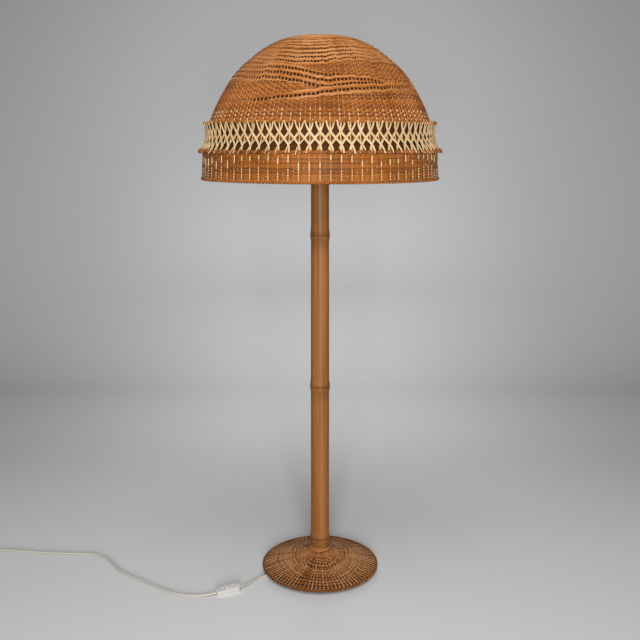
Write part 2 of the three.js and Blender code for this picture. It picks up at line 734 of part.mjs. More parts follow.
// A border ring with one cane growing from its face at each column. Each cane starts as a
// three-cornered patch of that face, between two sections of the ring.
function borderWithCanes(outline, swell, rootColumn, caneLine) {
  const points = [];
  const index = [];
  const count = outline.length;
  const ringAt = (column, grow) => outline.map(([radius, height]) =>
    polar(radius + grow, column * columnAngle, height));
  const halfRoot = cane.width / crossRadius / columnAngle;
  const columns = Array.from({ length: shade.columns }, (_, column) => {
    const before = ringAt(column + rootColumn - halfRoot, swell);
    const after = ringAt(column + rootColumn + halfRoot, 0);
    const middle = before[1].clone().lerp(after[1], 1 / 2);
    const line = caneLine(column);
    const rings = ringsAlong(line, caneSection(cane.width, cane.thickness), radial).slice(1);
    const downward = line[1].z < line[0].z;
    const start = points.length;
    points.push(...before, ...after, middle, ...rings.flat());
    const root = start + 2 * count;
    return {
      low: countFrom(start, count), high: countFrom(start + count, count), root,
      // Corners of each section in the order first side, outer edge, second side
      canes: rings.map((_, i) => countFrom(root + 1 + 3 * i, 3))
        .map(([left, right, outer]) => (downward ? [right, outer, left] : [left, outer, right])),
    };
  });
  columns.forEach(({ low, high, root, canes }, column) => {
    // The face with its patch left open, the outer side with the patch's corner on its edge
    index.push(low[0], low[1], root, high[0], root, high[1]);
    index.push(low[1], low[2], root, root, low[2], high[2], root, high[2], high[1]);
    for (let j = 2; j < count; j++) {
      const next = (j + 1) % count;
      index.push(low[j], low[next], high[j], high[j], low[next], high[next]);
    }
    index.push(...bandBetween(high, columns[(column + 1) % shade.columns].low));
    const sections = [[low[0], root, high[0]], ...canes];
    for (let i = 0; i + 1 < sections.length; i++) {
      index.push(...bandBetween(sections[i], sections[i + 1]));
    }
    index.push(...sections[sections.length - 1]);
  });
  return bodyOf(points, index);
}

// Outer canes: from the upper border, a steep leg to its own column and a diagonal to the next
function makeOuterCanes() {
  const layer = cane.layer / 2;
  const line = (column) => {
    const at = (columns, radius, height) =>
      polar(radius, (column + columns) * columnAngle, height);
    return [
      at(-trellis.topShare, middleOf(upperOutline), upperFace),
      at(0, crossRadius + layer, crossHeight),
      at(trellis.footShare, caneFoot + layer, lowerFace + cane.thickness),
    ];
  };
  return borderWithCanes(upperOutline, 0, -trellis.topShare, line);
}

// Inner canes: the same from the lower border upwards, leaning the other way
function makeInnerCanes() {
  const layer = -cane.layer / 2;
  const line = (column) => {
    const at = (columns, radius, height) =>
      polar(radius, (column - columns) * columnAngle, height);
    return [
      at(trellis.footShare, middleOf(lowerOutline), lowerFace),
      at(0, crossRadius + layer, crossHeight),
      at(-trellis.topShare, middleOf(upperOutline) + layer, upperFace - cane.thickness / 2),
    ];
  };
  return borderWithCanes(lowerOutline, lashing, -trellis.footShare, line);
}

// Upright stakes behind the canes, one at each column, hanging from their own hoop
function makeStakes() {
  const line = (column) => [
    polar(middleOf(hoopOutline), column * columnAngle, stakeTop),
    polar(stakeFoot, column * columnAngle, stakeBottom + fit.seat),
  ];
  return borderWithCanes(hoopOutline, 0, 0, line);
}

// The thin weaver round the inside of the stakes, halfway down the trellis
function makeWeaver() {
  const share = trellis.weaverShare;
  const stakeRadius = middleOf(hoopOutline) + share * (stakeFoot - middleOf(hoopOutline));
  const radius = stakeRadius - cane.thickness - fit.seat - trellis.weaver / 2;
  const section = caneSection(trellis.weaver, trellis.weaver);
  return hoopOf(radius, stakeTop - share * (stakeTop - stakeBottom), trellis.weaverSteps, section);
}

// Wire frame: a hub on the lamp holder, three hoops inside the walls, and at each third of the way
// round an arm from the hub and a strut down the hoops
const wireSection = roundSection(frame.wire / 2, frame.sides);
const insideWall = (radius, lean) => flatRadius(
  radius - (shade.wall + fit.seat + frame.wire / 2) / Math.cos(lean), shade.facets);
const frameHoops = [
  { name: 'frame_hoop_dome', radius: insideWall(dome.radius, 0), height: domeFoot - frame.wire / 2 },
  ...[['frame_hoop_skirt', skirtTop - frame.skirtDrop], ['frame_hoop_rim', skirtFoot + frame.rimRise]]
    .map(([name, height]) => ({ name, radius: insideWall(skirtRadius(height), skirtLean), height })),
];
const [domeHoop, skirtHoop, rimHoop] = frameHoops;
const strutInset = frame.wire + fit.seat;
const hubRadius = shadeRing.radius + frame.hubRim;

function makeHub() {
  const bore = clearBore(holder.radius, holder.facets);
  const top = hubHeight + frame.hubThickness;
  return revolve([
    [bore, hubHeight], [hubRadius, hubHeight], [hubRadius, top], [bore, top],
  ], holder.facets);
}

function makeArm(angle) {
  const foot = hubHeight + frame.hubThickness + fit.seat + frame.wire / 2;
  const reach = domeHoop.radius - strutInset - frame.wire / 2 - fit.seat;
  return tube([
    polar(shadeRing.radius + 2 * fit.seat, angle, foot), polar(reach, angle, domeHoop.height),
  ], wireSection);
}

function makeStrut(angle) {
  const bulge = {
    radius: domeHoop.radius + frame.bulgeOutShare * (skirtHoop.radius - domeHoop.radius),
    height: domeHoop.height - frame.bulgeDownShare * (domeHoop.height - skirtHoop.height),
  };
  return tube([domeHoop, bulge, skirtHoop, rimHoop].map(({ radius, height }) =>
    polar(radius - strutInset, angle, height)), wireSection, radial);
}

// Cord, switch and plug

const glandInner = exitWay.clone()
  .multiplyScalar(flatRadius(weightRadius, weight.facets) + 2 * fit.seat)
  .setZ(weightFoot + weight.grooveHeight / 2);
const glandOuter = exitWay.clone()
  .multiplyScalar(cover.radius - gland.inset)
  .setZ(glandInner.z - gland.fall);
const glandWay = glandOuter.clone().sub(glandInner).normalize();

// A profile of [radius, distance] points turned about the line from a point along a direction
function revolveAlong(profile, facets, from, way) {
  const turn = new THREE.Quaternion().setFromUnitVectors(upward, way);
  return revolve(profile, facets).applyQuaternion(turn).translate(from.x, from.y, from.z);
}

function makeGland() {
  const length = glandOuter.distanceTo(glandInner);
  const bore = leadRadius + fit.run;
  return revolveAlong([
    [bore, 0], [bore + gland.innerWall, 0], [bore + gland.outerWall, length], [bore, length],
  ], gland.facets, glandInner, glandWay);
}

// The lead inside the lamp: along the groove, up through the rod and into the holder
function makeLead() {
  const level = glandInner.z;
  const along = (distance, height) => exitWay.clone().multiplyScalar(distance).setZ(height);
  const bend = Array.from({ length: cord.bendSteps + 1 }, (_, i) => {
    const angle = (i * TURN) / (4 * cord.bendSteps);
    return along(cord.leadBend * (1 - Math.sin(angle)), level + cord.leadBend * (1 - Math.cos(angle)));
  });
  const points = [
    glandOuter.clone().addScaledVector(glandWay, -fit.seat),
    glandInner.clone(),
    along(weight.recessRadius, level),
    ...bend,
    along(0, holderFoot + rod.above + cord.leadBend / 2),
  ];
  const side = exitWay.clone().cross(upward);
  return tube(points, roundSection(leadRadius, cord.sides), side);
}

// A plain round tube along a smooth curve through points
function cordTube(points, steps) {
  const section = new THREE.Shape(roundSection(halfCord, cord.sides)
    .map(([x, y]) => new THREE.Vector2(x, y)));
  const extrudePath = new THREE.CatmullRomCurve3(points, false, 'centripetal');
  return new THREE.ExtrudeGeometry(section, { steps, extrudePath, bevelEnabled: false });
}

const vectors = (route) => route.map((place) => new THREE.Vector3(...place));
const switchWay = new THREE.Vector3(Math.cos(switchBox.angle), Math.sin(switchBox.angle), 0);
const switchMiddle = new THREE.Vector3(switchBox.x, switchBox.y, switchBox.split);
const switchEnd = (sign, beyond) => switchMiddle.clone()
  .addScaledVector(switchWay, sign * (switchBox.length / 2 + fit.seat + beyond));

// The coil's centreline: in along the lower layer, a climb, and out along the upper one
function coilPoints() {
  const { layerTurns, climbTurns, innerRadius } = coil;
  const turns = 2 * layerTurns + climbTurns;
  const steps = Math.round(turns * coil.stepsPerTurn);
  const low = halfCord + coil.floorGap;
  const points = [];
  for (let i = 0; i <= steps; i++) {
    const turn = (turns * i) / steps;
    const inward = Math.min(turn, turns - turn, layerTurns) / layerTurns;
    const climbed = Math.min(Math.max((turn - layerTurns) / climbTurns, 0), 1);
    const rise = layerRise * (1 - Math.cos((climbed * TURN) / 2)) / 2;
    const angle = TURN / 4 + turn * TURN;
    points.push(polar(coilOuter + inward * (innerRadius - coilOuter), angle, low + rise));
  }
  const endAngle = TURN / 4 + turns * TURN;
  points.unshift(points[0].clone().add(polar(coil.straight, 0, 0)));
  points.push(points[points.length - 1].clone().add(polar(coil.straight, endAngle + TURN / 4, 0)));
  return points.map((point) => point.add(new THREE.Vector3(coil.x, coil.y, 0)));
}

const coilLine = coilPoints();
const coilStart = coilLine[0].clone().sub(coilLine[1]).normalize();
const coilFinish = coilLine[coilLine.length - 1].clone().sub(coilLine[coilLine.length - 2]).normalize();

// The least gap between one turn and another, measured on points a little apart along the line
function leastGap(line, diameter) {
  const curve = new THREE.CatmullRomCurve3(line);
  const count = line.length * coil.gapSamples;
  const apart = coil.gapDiameters * diameter;
  const points = Array.from({ length: count + 1 }, (_, i) => curve.getPoint(i / count));
  let least = Infinity;
  let length = 0;
  const lengths = points.map((point, i) => (length += i ? point.distanceTo(points[i - 1]) : 0));
  points.forEach((point, i) => {
    for (let j = i + 1; j < points.length; j++) {
      if (lengths[j] - lengths[i] > apart) least = Math.min(least, point.distanceTo(points[j]));
    }
  });
  return least - diameter;
}

function makeTie() {
  const inner = {
    near: coil.innerRadius - halfCord - tie.clearance, far: coilOuter + halfCord + tie.clearance,
    low: coil.floorGap - tie.clearance / 2,
    high: coil.floorGap + cord.diameter + layerRise + tie.clearance,
  };
  const box = (grow) => [
    [inner.near - grow, inner.low - grow / 2], [inner.far + grow, inner.low - grow / 2],
    [inner.far + grow, inner.high + grow], [inner.near - grow, inner.high + grow],
  ].map(([x, z]) => new THREE.Vector2(x, z));
  const band = new THREE.Shape(box(tie.thickness));
  band.holes.push(new THREE.Path(box(0).reverse()));
  return new THREE.ExtrudeGeometry(band, { depth: tie.width, bevelEnabled: false })
    .rotateX(TURN / 4).translate(0, tie.width / 2, 0).rotateZ(tie.angle)
    .translate(coil.x, coil.y, 0);
}

// A rectangle with round corners, about the origin
function roundedShape(length, width, radius) {
  const x = length / 2 - radius;
  const y = width / 2 - radius;
  const shape = new THREE.Shape();
  shape.absarc(x, y, radius, 0, TURN / 4);
  shape.absarc(-x, y, radius, TURN / 4, TURN / 2);
  shape.absarc(-x, -y, radius, TURN / 2, (3 * TURN) / 4);
  shape.absarc(x, -y, radius, (3 * TURN) / 4, TURN);
  return shape;
}

const slab = (length, width, radius, height, steps) =>
  new THREE.ExtrudeGeometry(roundedShape(length, width, radius), {
    depth: height, bevelEnabled: false, curveSegments: steps,
  });

function makeSwitchBase() {
  const { length, width, endRadius, wall, split, cornerSteps } = switchBox;
  const height = split - fit.seat / 2;
  const outer = slab(length, width, endRadius, height, cornerSteps);
  const inner = slab(length - 2 * wall, width - 2 * wall, endRadius - wall, height, cornerSteps)
    .translate(0, 0, wall + switchScrew.depth);
  const entry = pin(halfCord + fit.seat, length + 2 * fit.overrun, cord.sides)
    .rotateY(TURN / 4).translate(0, 0, split);
  const hole = (x) => pin(switchScrew.radius + fit.seat, 2 * switchScrew.depth, switchScrew.facets)
    .translate(x, 0, 0);
  return cut(outer, inner, entry, hole(switchScrew.place), hole(-switchScrew.place));
}

function makeSwitchScrew(sign) {
  const height = switchScrew.depth - 2 * fit.seat;
  const body = pin(switchScrew.radius, height, switchScrew.facets);
  const slot = new THREE.BoxGeometry(
    2 * switchScrew.radius + fit.overrun, switchScrew.slotWidth, 2 * switchScrew.slotDepth)
    .translate(0, 0, -height / 2);
  return cut(body, slot).translate(sign * switchScrew.place, 0, switchScrew.depth / 2);
}

// Upper half: a bevelled shell with a window, and two cheeks that hold the rocker's trunnions
function makeSwitchCover() {
  const { length, width, endRadius, wall, split, bevel, cornerSteps } = switchBox;
  const height = switchHeight;
  const foot = split + fit.seat / 2;
  const inset = roundedShape(length - 2 * bevel, width - 2 * bevel, endRadius - bevel);
  const crown = new THREE.ExtrudeGeometry(inset, {
    depth: height - foot - bevel, bevelEnabled: true, bevelSize: bevel, bevelThickness: bevel,
    bevelSegments: 2, curveSegments: cornerSteps,
  }).translate(0, 0, foot);
  const top = new THREE.BoxGeometry(2 * length, 2 * width, 2 * height).translate(0, 0, foot + height);
  const outer = geometryOf(solidOf(crown).intersect(solidOf(top)));
  const inner = slab(length - 2 * wall - bevel, width - 2 * wall - bevel, endRadius - wall - bevel / 2,
    height, cornerSteps).translate(0, 0, -wall);
  const cheekSpan = rocker.width + 2 * rocker.sideGap + 2 * rocker.cheek;
  const cheeks = new THREE.BoxGeometry(rocker.length, cheekSpan, rocker.cheekDrop)
    .translate(0, 0, height - wall - rocker.cheekDrop / 2);
  const window = new THREE.BoxGeometry(
    rocker.length + 2 * rocker.endGap, rocker.width + 2 * rocker.sideGap, 2 * height)
    .translate(0, 0, height);
  const entry = pin(halfCord + fit.seat, length + 2 * fit.overrun, cord.sides)
    .rotateY(TURN / 4).translate(0, 0, split);
  const bearing = pin(rocker.trunnion + fit.seat, cheekSpan, rocker.facets)
    .rotateX(TURN / 4).translate(0, 0, pivotHeight);
  return cut(join(cut(outer, inner), cheeks), window, entry, bearing);
}

// Rocker: a shallow V on top and a stub at each side, tilted to rest with one half level
function makeRocker() {
  const half = rocker.length / 2;
  const lean = ((rocker.travelDegrees / 360) * TURN) / 2;
  const top = switchHeight + rocker.endRise - pivotHeight;
  const shoulder = top - rocker.skirtDrop;
  const foot = -2 * rocker.trunnion;
  const side = new THREE.Shape([
    [-half, shoulder], [-half * rocker.footShare, foot], [half * rocker.footShare, foot],
    [half, shoulder], [half, top],
    [0, top - half * Math.tan(lean)], [-half, top],
  ].map(([x, z]) => new THREE.Vector2(x, z)));
  const body = new THREE.ExtrudeGeometry(side, { depth: rocker.width, bevelEnabled: false })
    .rotateX(TURN / 4).translate(0, rocker.width / 2, 0);
  const trunnions = pin(rocker.trunnion, rocker.width + 2 * rocker.trunnionLength, rocker.facets)
    .rotateX(TURN / 4);
  return join(body, trunnions).rotateY(-lean).translate(0, 0, pivotHeight);
}

// Plug body: a flat hexagon that narrows towards the cord, then a tapered neck
function plugOutline() {
  const { length, width, rearShare, shoulderShare } = plug;
  const half = width / 2;
  return new THREE.Shape([
    [0, -half * rearShare], [length * shoulderShare, -half], [length, -half],
    [length, half], [length * shoulderShare, half], [0, half * rearShare],
  ].map(([x, y]) => new THREE.Vector2(x, y)));
}

const plugMiddle = plug.thickness / 2;
const tailStart = coilLine[coilLine.length - 1].clone().addScaledVector(coilFinish, fit.seat);
const tailEnd = tailStart.clone().addScaledVector(coilFinish, tail.run).setZ(plugMiddle);

function buildPlug() {
  const group = new THREE.Group();
  group.position.copy(tailEnd).addScaledVector(coilFinish, fit.seat).setZ(0);
  group.rotation.z = Math.atan2(coilFinish.y, coilFinish.x);
  const body = new THREE.ExtrudeGeometry(plugOutline(), { depth: plug.thickness, bevelEnabled: false })
    .translate(plug.neckLength, 0, 0);
  const neck = revolveAlong([
    [0, 0], [plug.neckTipRadius, 0], [plug.neckRadius, plug.neckLength + fit.overrun],
    [0, plug.neckLength + fit.overrun],
  ], plug.facets, new THREE.Vector3(0, 0, plugMiddle), new THREE.Vector3(1, 0, 0));
  piece('plug_body', join(body, neck), finish.white, group);
  for (const sign of [-1, 1]) {
    const start = new THREE.Vector3(
      plug.neckLength + plug.length + fit.seat, (sign * plug.pinPitch) / 2, plugMiddle);
    const tip = plug.pinRadius / 2;
    const stem = revolveAlong([
      [0, 0], [plug.pinRadius, 0], [plug.pinRadius, plug.pinLength - tip], [tip, plug.pinLength],
      [0, plug.pinLength],
    ], plug.facets, start, new THREE.Vector3(1, 0, 0));
    piece(sign < 0 ? 'plug_pin_left' : 'plug_pin_right', stem, finish.brass, group);
  }
  model.add(group);
}

function buildSwitch() {
  const group = new THREE.Group();
  group.position.set(switchBox.x, switchBox.y, 0);
  group.rotation.z = switchBox.angle;
  piece('switch_base', makeSwitchBase(), finish.white, group);
  piece('switch_cover', makeSwitchCover(), finish.white, group);
  piece('switch_rocker', makeRocker(), finish.white, group);
  piece('switch_screw_near', makeSwitchScrew(-1), finish.steel, group);
  piece('switch_screw_far', makeSwitchScrew(1), finish.steel, group);
  model.add(group);
}

function buildFoot() {
  piece('base_felt', makeFelt(), finish.felt);
  piece('base_weight', makeWeight(), finish.iron);
  piece('base_cover', makeCover(), finish.rattan);
  piece('base_border', rolledBorder(footBorder,
    cover.radius + footBorder.thickness / 2 - footBorder.lap,
    cover.rimHeight - footBorder.drop), finish.rattan);
  piece('rod_bottom_washer', makeWasher(), finish.steel);
  piece('rod_bottom_nut',
    makeNut(recessTop - 2 * fit.seat - rodWasher.thickness - rodNut.thickness), finish.steel);
}

function buildStem() {
  piece('bamboo_pole', makeCulm(), finish.bamboo);
  piece('pole_top_plug', makeTopPlug(), finish.timber);
  piece('centre_rod', makeRod(), finish.steel);
}

function buildHolder() {
  piece('holder_cap', makeHolderCap(), finish.bakelite);
  piece('rod_top_nut', makeNut(holderFoot + holder.capFloor + fit.seat), finish.steel);
  piece('holder_body', makeHolderBody(), finish.bakelite);
  piece('holder_insert', makeHolderInsert(), finish.porcelain);
  piece('holder_screw_shell', makeScrewShell(), finish.brass);
  piece('holder_contact', makeContact(), finish.brass);
  piece('shade_ring_lower', makeShadeRing(ringFoot), finish.bakelite);
  piece('shade_ring_upper', makeShadeRing(upperRingFoot), finish.bakelite);
  piece('bulb_tip', makeBulbTip(), finish.bakelite);
  piece('bulb_cap', makeBulbCap(), finish.brass);
  piece('bulb_glass', makeBulbGlass(), finish.opal);
}

function buildShade() {
  piece('frame_hub', makeHub(), finish.steel);
  for (const { name, radius, height } of frameHoops) {
    piece(name, hoopOf(radius, height, frame.facets, wireSection), finish.steel);
  }
  ['right', 'left', 'front'].forEach((side, i) => {
    const angle = ((i + 1 / 4) * TURN) / frame.arms;
    piece('frame_arm_' + side, makeArm(angle), finish.steel);
    piece('frame_strut_' + side, makeStrut(angle), finish.steel);
  });
  piece('dome_weave', makeDome(), finish.rattan);
  piece('upper_border_canes', makeOuterCanes(), finish.cane);
  piece('lower_border_canes', makeInnerCanes(), finish.cane);
  piece('trellis_stakes', makeStakes(), finish.cane);
  piece('trellis_weaver', makeWeaver(), finish.rattan);
  piece('skirt_weave', makeSkirt(), finish.rattan);
  piece('rim_border', makeRimBorder(), finish.rattan);
}

function buildCord() {
  piece('cord_gland', makeGland(), finish.bakelite);
  piece('inner_lead', makeLead(), finish.cord);
  const nearStart = glandOuter.clone().addScaledVector(glandWay, fit.seat);
  piece('cord_near', cordTube(
    [nearStart, ...vectors(nearRoute), switchEnd(-1, 0)], nearSteps), finish.cord);
  const coilMouth = coilLine[0].clone().addScaledVector(coilStart, fit.seat);
  piece('cord_far', cordTube(
    [switchEnd(1, 0), ...vectors(farRoute), coilMouth], farSteps), finish.cord);
  piece('cord_coil', tube(coilLine, roundSection(halfCord, coil.sides)), finish.cord);
  piece('cord_tail', cordTube([
    tailStart, tailStart.clone().addScaledVector(coilFinish, tail.straight),
    tailEnd.clone().addScaledVector(coilFinish, -tail.straight), tailEnd,
  ], tail.steps), finish.cord);
  piece('cord_tie', makeTie(), finish.white);
  console.log('coil: least gap between turns ' + leastGap(coilLine, cord.diameter).toFixed(2) + ' mm');
}

buildFoot();
buildStem();
buildHolder();
buildShade();
buildCord();
buildSwitch();
buildPlug();

export default model;
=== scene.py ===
"""Rattan floor lamp: a woven dome shade on a bamboo culm, a woven foot, and a cord with an inline switch."""

import math

import bpy
import numpy as np
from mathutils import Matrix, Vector


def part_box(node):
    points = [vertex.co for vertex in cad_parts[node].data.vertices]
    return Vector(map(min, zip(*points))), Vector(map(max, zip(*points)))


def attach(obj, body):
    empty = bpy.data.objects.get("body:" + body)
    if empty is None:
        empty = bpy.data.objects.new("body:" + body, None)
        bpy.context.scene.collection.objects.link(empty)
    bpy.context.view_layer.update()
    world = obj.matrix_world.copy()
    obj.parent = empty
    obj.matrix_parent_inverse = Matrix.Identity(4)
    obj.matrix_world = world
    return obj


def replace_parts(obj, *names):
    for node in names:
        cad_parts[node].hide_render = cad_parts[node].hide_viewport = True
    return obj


bl_info = {
    "name": "Rattan floor lamp",
    "version": (1, 0, 0),
    "blender": (4, 5, 0),
    "location": "View3D > Sidebar > Lamp",
    "description": "Weaves the shade and foot, dresses the culm and fittings, lays the cord, sets the stage",
    "category": "Object",
}

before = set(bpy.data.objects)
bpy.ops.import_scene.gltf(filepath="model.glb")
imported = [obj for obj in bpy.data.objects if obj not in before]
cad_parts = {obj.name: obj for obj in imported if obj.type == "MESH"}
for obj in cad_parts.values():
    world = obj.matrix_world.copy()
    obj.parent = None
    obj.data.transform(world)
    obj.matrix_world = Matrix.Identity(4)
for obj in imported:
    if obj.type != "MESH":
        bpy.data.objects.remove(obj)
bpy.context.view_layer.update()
MM = 0.001
rng = np.random.default_rng(7)

# Reading the frame


def top_of(node):
    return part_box(node)[1].z


def foot_of(node):
    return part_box(node)[0].z


def radius_of(node):
    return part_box(node)[1].x


# Curves, rings and swept canes

SHARP_EDGE, CANE_SIDES, TAPERED_END = math.radians(50), 6, 0.45


def smooth_line(points, steps):
    """A centripetal Catmull-Rom line through the points, with that many steps between each two."""
    points = np.array(points, float)
    ends = [2 * points[0] - points[1], *points, 2 * points[-1] - points[-2]]
    line = []
    for a, b, c, d in zip(ends, ends[1:], ends[2:], ends[3:]):
        t1 = np.linalg.norm(b - a) ** 0.5
        t2 = t1 + np.linalg.norm(c - b) ** 0.5
        t3 = t2 + np.linalg.norm(d - c) ** 0.5
        for t in np.linspace(t1, t2, steps, endpoint=False):
            ab = a + (b - a) * t / t1
            bc = b + (c - b) * (t - t1) / (t2 - t1)
            cd = c + (d - c) * (t - t2) / (t3 - t2)
            abc = ab + (bc - ab) * t / t2
            bcd = bc + (cd - bc) * (t - t1) / (t3 - t1)
            line.append(abc + (bcd - abc) * (t - t1) / (t2 - t1))
    return np.array([*line, points[-1]])


def unit(rows):
    return rows / np.maximum(np.linalg.norm(rows, axis=1, keepdims=True), 1e-12)


def full_turn(steps):
    """Angles all the way round, in even steps."""
    return np.arange(steps) * 2 * math.pi / steps


def round_axis(r, turn, z):
    """Points at a radius from the lamp's axis, an angle from the front and a height."""
    r, turn, z = np.broadcast_arrays(r, turn, z)
    return np.stack([r * np.sin(turn), -r * np.cos(turn), z], -1)


def add_object(name, data):
    made = bpy.data.objects.new(name, data)
    bpy.context.scene.collection.objects.link(made)
    return made


def quads(rings, sides, closed=True):
    """Faces between rings of points, with the place of each on its ring and in the row of rings."""
    i, k = np.meshgrid(np.arange(rings if closed else rings - 1), np.arange(sides), indexing="ij")
    after, beside = (i + 1) % rings, (k + 1) % sides
    faces = np.stack([i * sides + k, i * sides + beside, after * sides + beside, after * sides + k], -1)
    return i, k, faces.reshape(-1, 4)


def skin(name, points, faces, material):
    """A smooth mesh from lists of points and of faces."""
    mesh = bpy.data.meshes.new(name)
    mesh.from_pydata(points, [], faces)
    mesh.shade_smooth()
    mesh.materials.append(material)
    return add_object(name, mesh)


def ring_skin(name, rings, material):
    """A closed skin over rings of points, with the last ring joined to the first."""
    made = skin(name, rings.reshape(-1, 3).tolist(), quads(*rings.shape[:2])[2].tolist(), material)
    made.data.set_sharp_from_angle(angle=SHARP_EDGE)
    return made


class Shell:
    """A surface of revolution: a place on it is an angle from the front, a distance up its outline and a
    height over it."""

    def __init__(self, outline, steps=24):
        line = smooth_line(outline, steps)
        self.r, self.z = line[:, 0], line[:, 1]
        self.s = np.concatenate([[0], np.cumsum(np.hypot(np.diff(self.r), np.diff(self.z)))])
        along_r, along_z = np.gradient(self.r, self.s), np.gradient(self.z, self.s)
        self.out_r, self.out_z = along_z, -along_r
        self.total = self.s[-1]

    def radius(self, s):
        return np.interp(s, self.s, self.r)

    def up_at(self, z):
        """How far up the outline a height in millimetres is."""
        return np.interp(np.asarray(z) * MM, self.z, self.s)

    def place(self, angle, s, over=0.0):
        """Points and outward normals."""
        nr, nz = np.interp(s, self.s, self.out_r), np.interp(s, self.s, self.out_z)
        r = np.interp(s, self.s, self.r) + nr * over
        z = np.interp(s, self.s, self.z) + nz * over
        return round_axis(r, angle, z), round_axis(nr, angle, nz)


class Strands:
    """Gathers many canes into one mesh. Each cane has a tone of its own and carries its length in its map."""

    def __init__(self):
        self.points, self.faces, self.maps, self.tones, self.count = [], [], [], [], 0

    def add(self, line, normals, width, thickness, tone, closed=False, taper=0):
        n, sides = len(line), CANE_SIDES
        ahead = unit(np.roll(line, -1, 0) - np.roll(line, 1, 0) if closed else np.gradient(line, axis=0))
        side = unit(np.cross(ahead, normals))
        up = np.cross(side, ahead)
        turn = ((np.arange(sides) + 0.5) * 2 * math.pi / sides)[None, :, None]
        fade = np.ones(n)
        if taper:
            reach = np.minimum(np.arange(n), np.arange(n)[::-1])
            fade = np.clip(TAPERED_END + reach / taper * (1 - TAPERED_END), 0, 1)
        ring = (side[:, None, :] * np.cos(turn) * width + up[:, None, :] * np.sin(turn) * thickness) / 2
        self.points.append((line[:, None, :] + ring * fade[:, None, None]).reshape(-1, 3))
        i, k, faces = quads(n, sides, closed)
        self.faces.append(faces + self.count)
        along = np.concatenate([[0], np.cumsum(np.linalg.norm(np.roll(line, -1, 0) - line, axis=1))])
        girth = math.pi * (width + thickness) / 2
        u0, u1, v0, v1 = along[i], along[i + 1], k / sides * girth, (k + 1) / sides * girth
        self.maps.append(np.stack([u0, v0, u0, v1, u1, v1, u1, v0], -1).reshape(-1, 2))
        self.tones.append(np.full(n * sides, tone))
        if not closed:
            for end in (np.arange(sides)[::-1], (n - 1) * sides + np.arange(sides)):
                caps = [[end[0], end[a], end[a + 1], end[a + 2]] for a in range(1, sides - 2, 2)]
                self.faces.append(np.array(caps) + self.count)
                self.maps.append(np.zeros((len(caps) * 4, 2)))
        self.count += n * sides

    def build(self, name, material):
        made = skin(name, np.concatenate(self.points).tolist(), np.concatenate(self.faces).tolist(), material)
        along = made.data.uv_layers.new(name="along").uv
        along.foreach_set("vector", np.concatenate(self.maps).astype(np.float32).ravel())
        tone = made.data.attributes.new("tone", "FLOAT", "POINT")
        tone.data.foreach_set("value", np.concatenate(self.tones).astype(np.float32))
        return made


# Effects that several finishes share


def new_group(name, colours, values):
    """A finish with colour inputs, and number inputs with defaults, that puts out what a shader needs."""
    tree = bpy.data.node_groups.new(name, "ShaderNodeTree")
    for label in colours:
        tree.interface.new_socket(name=label, in_out="INPUT", socket_type="NodeSocketColor")
    for label, value in values.items():
        made = tree.interface.new_socket(name=label, in_out="INPUT", socket_type="NodeSocketFloat")
        made.default_value = value
    tree.interface.new_socket(name="Colour", in_out="OUTPUT", socket_type="NodeSocketColor")
    for label in ("Roughness", "Height"):
        tree.interface.new_socket(name=label, in_out="OUTPUT", socket_type="NodeSocketFloat")
    return tree, tree.nodes.new("NodeGroupInput").outputs


def node(tree, kind, inputs=None, **settings):
    """A node with its settings, and its inputs given as values or as other sockets."""
    made = tree.nodes.new(kind)
    for key, value in settings.items():
        setattr(made, key, value)
    for key, value in (inputs or {}).items():
        if isinstance(value, bpy.types.NodeSocket):
            tree.links.new(value, made.inputs[key])
        else:
            made.inputs[key].default_value = value
    return made


def math_node(tree, operation, a, b=0.0, c=0.0, clamp=False):
    return node(tree, "ShaderNodeMath", {0: a, 1: b, 2: c}, operation=operation, use_clamp=clamp).outputs[0]


def about_half(tree, value, share, middle, clamp=False):
    """How far a value lies from a half, times a share, round a new middle."""
    return math_node(tree, "MULTIPLY_ADD", math_node(tree, "SUBTRACT", value, 0.5), share, middle, clamp)


def blend_colours(tree, share, a, b):
    return node(tree, "ShaderNodeMix", {0: share, 6: a, 7: b}, data_type="RGBA").outputs[2]


def noise(tree, vector, scale, detail):
    return node(tree, "ShaderNodeTexNoise", {"Vector": vector, "Scale": scale, "Detail": detail}).outputs[0]


def put_out(tree, colour, roughness, height):
    """Joins a finish's results to its outputs."""
    out = tree.nodes.new("NodeGroupOutput")
    for label, value in (("Colour", colour), ("Roughness", roughness), ("Height", height)):
        tree.links.new(value, out.inputs[label])
    return tree


def stretched(tree, vector, *scale):
    return node(tree, "ShaderNodeMapping", {"Vector": vector, "Scale": scale}).outputs[0]


def cane_fibre_group():
    """Long fibres along a cane, with each cane's own tone and slow patches over the whole piece."""
    tree, given = new_group("Cane fibre", ("Dark", "Middle", "Light"), {
        "Tone share": 0.5, "Fibre share": 0.3, "Patch size": 0.05, "Patch share": 0.3})
    along = node(tree, "ShaderNodeUVMap", uv_map="along").outputs[0]
    fibre = noise(tree, stretched(tree, along, 60.0, 2600.0, 1.0), 1.0, 3.0)
    place = node(tree, "ShaderNodeTexCoord").outputs["Object"]
    patch = noise(tree, place, math_node(tree, "DIVIDE", 1.0, given["Patch size"]), 2.0)
    tone = node(tree, "ShaderNodeAttribute", attribute_name="tone").outputs["Fac"]
    share = about_half(tree, tone, given["Tone share"], 0.5)
    share = about_half(tree, fibre, given["Fibre share"], share)
    share = about_half(tree, patch, given["Patch share"], share, clamp=True)
    low_share = math_node(tree, "MULTIPLY", share, 2.0, clamp=True)
    high_share = math_node(tree, "MULTIPLY_ADD", share, 2.0, -1.0, clamp=True)
    colour = blend_colours(tree, high_share, blend_colours(
        tree, low_share, given["Dark"], given["Middle"]), given["Light"])
    return put_out(tree, colour, math_node(tree, "MULTIPLY_ADD", fibre, 0.25, 0.3), fibre)


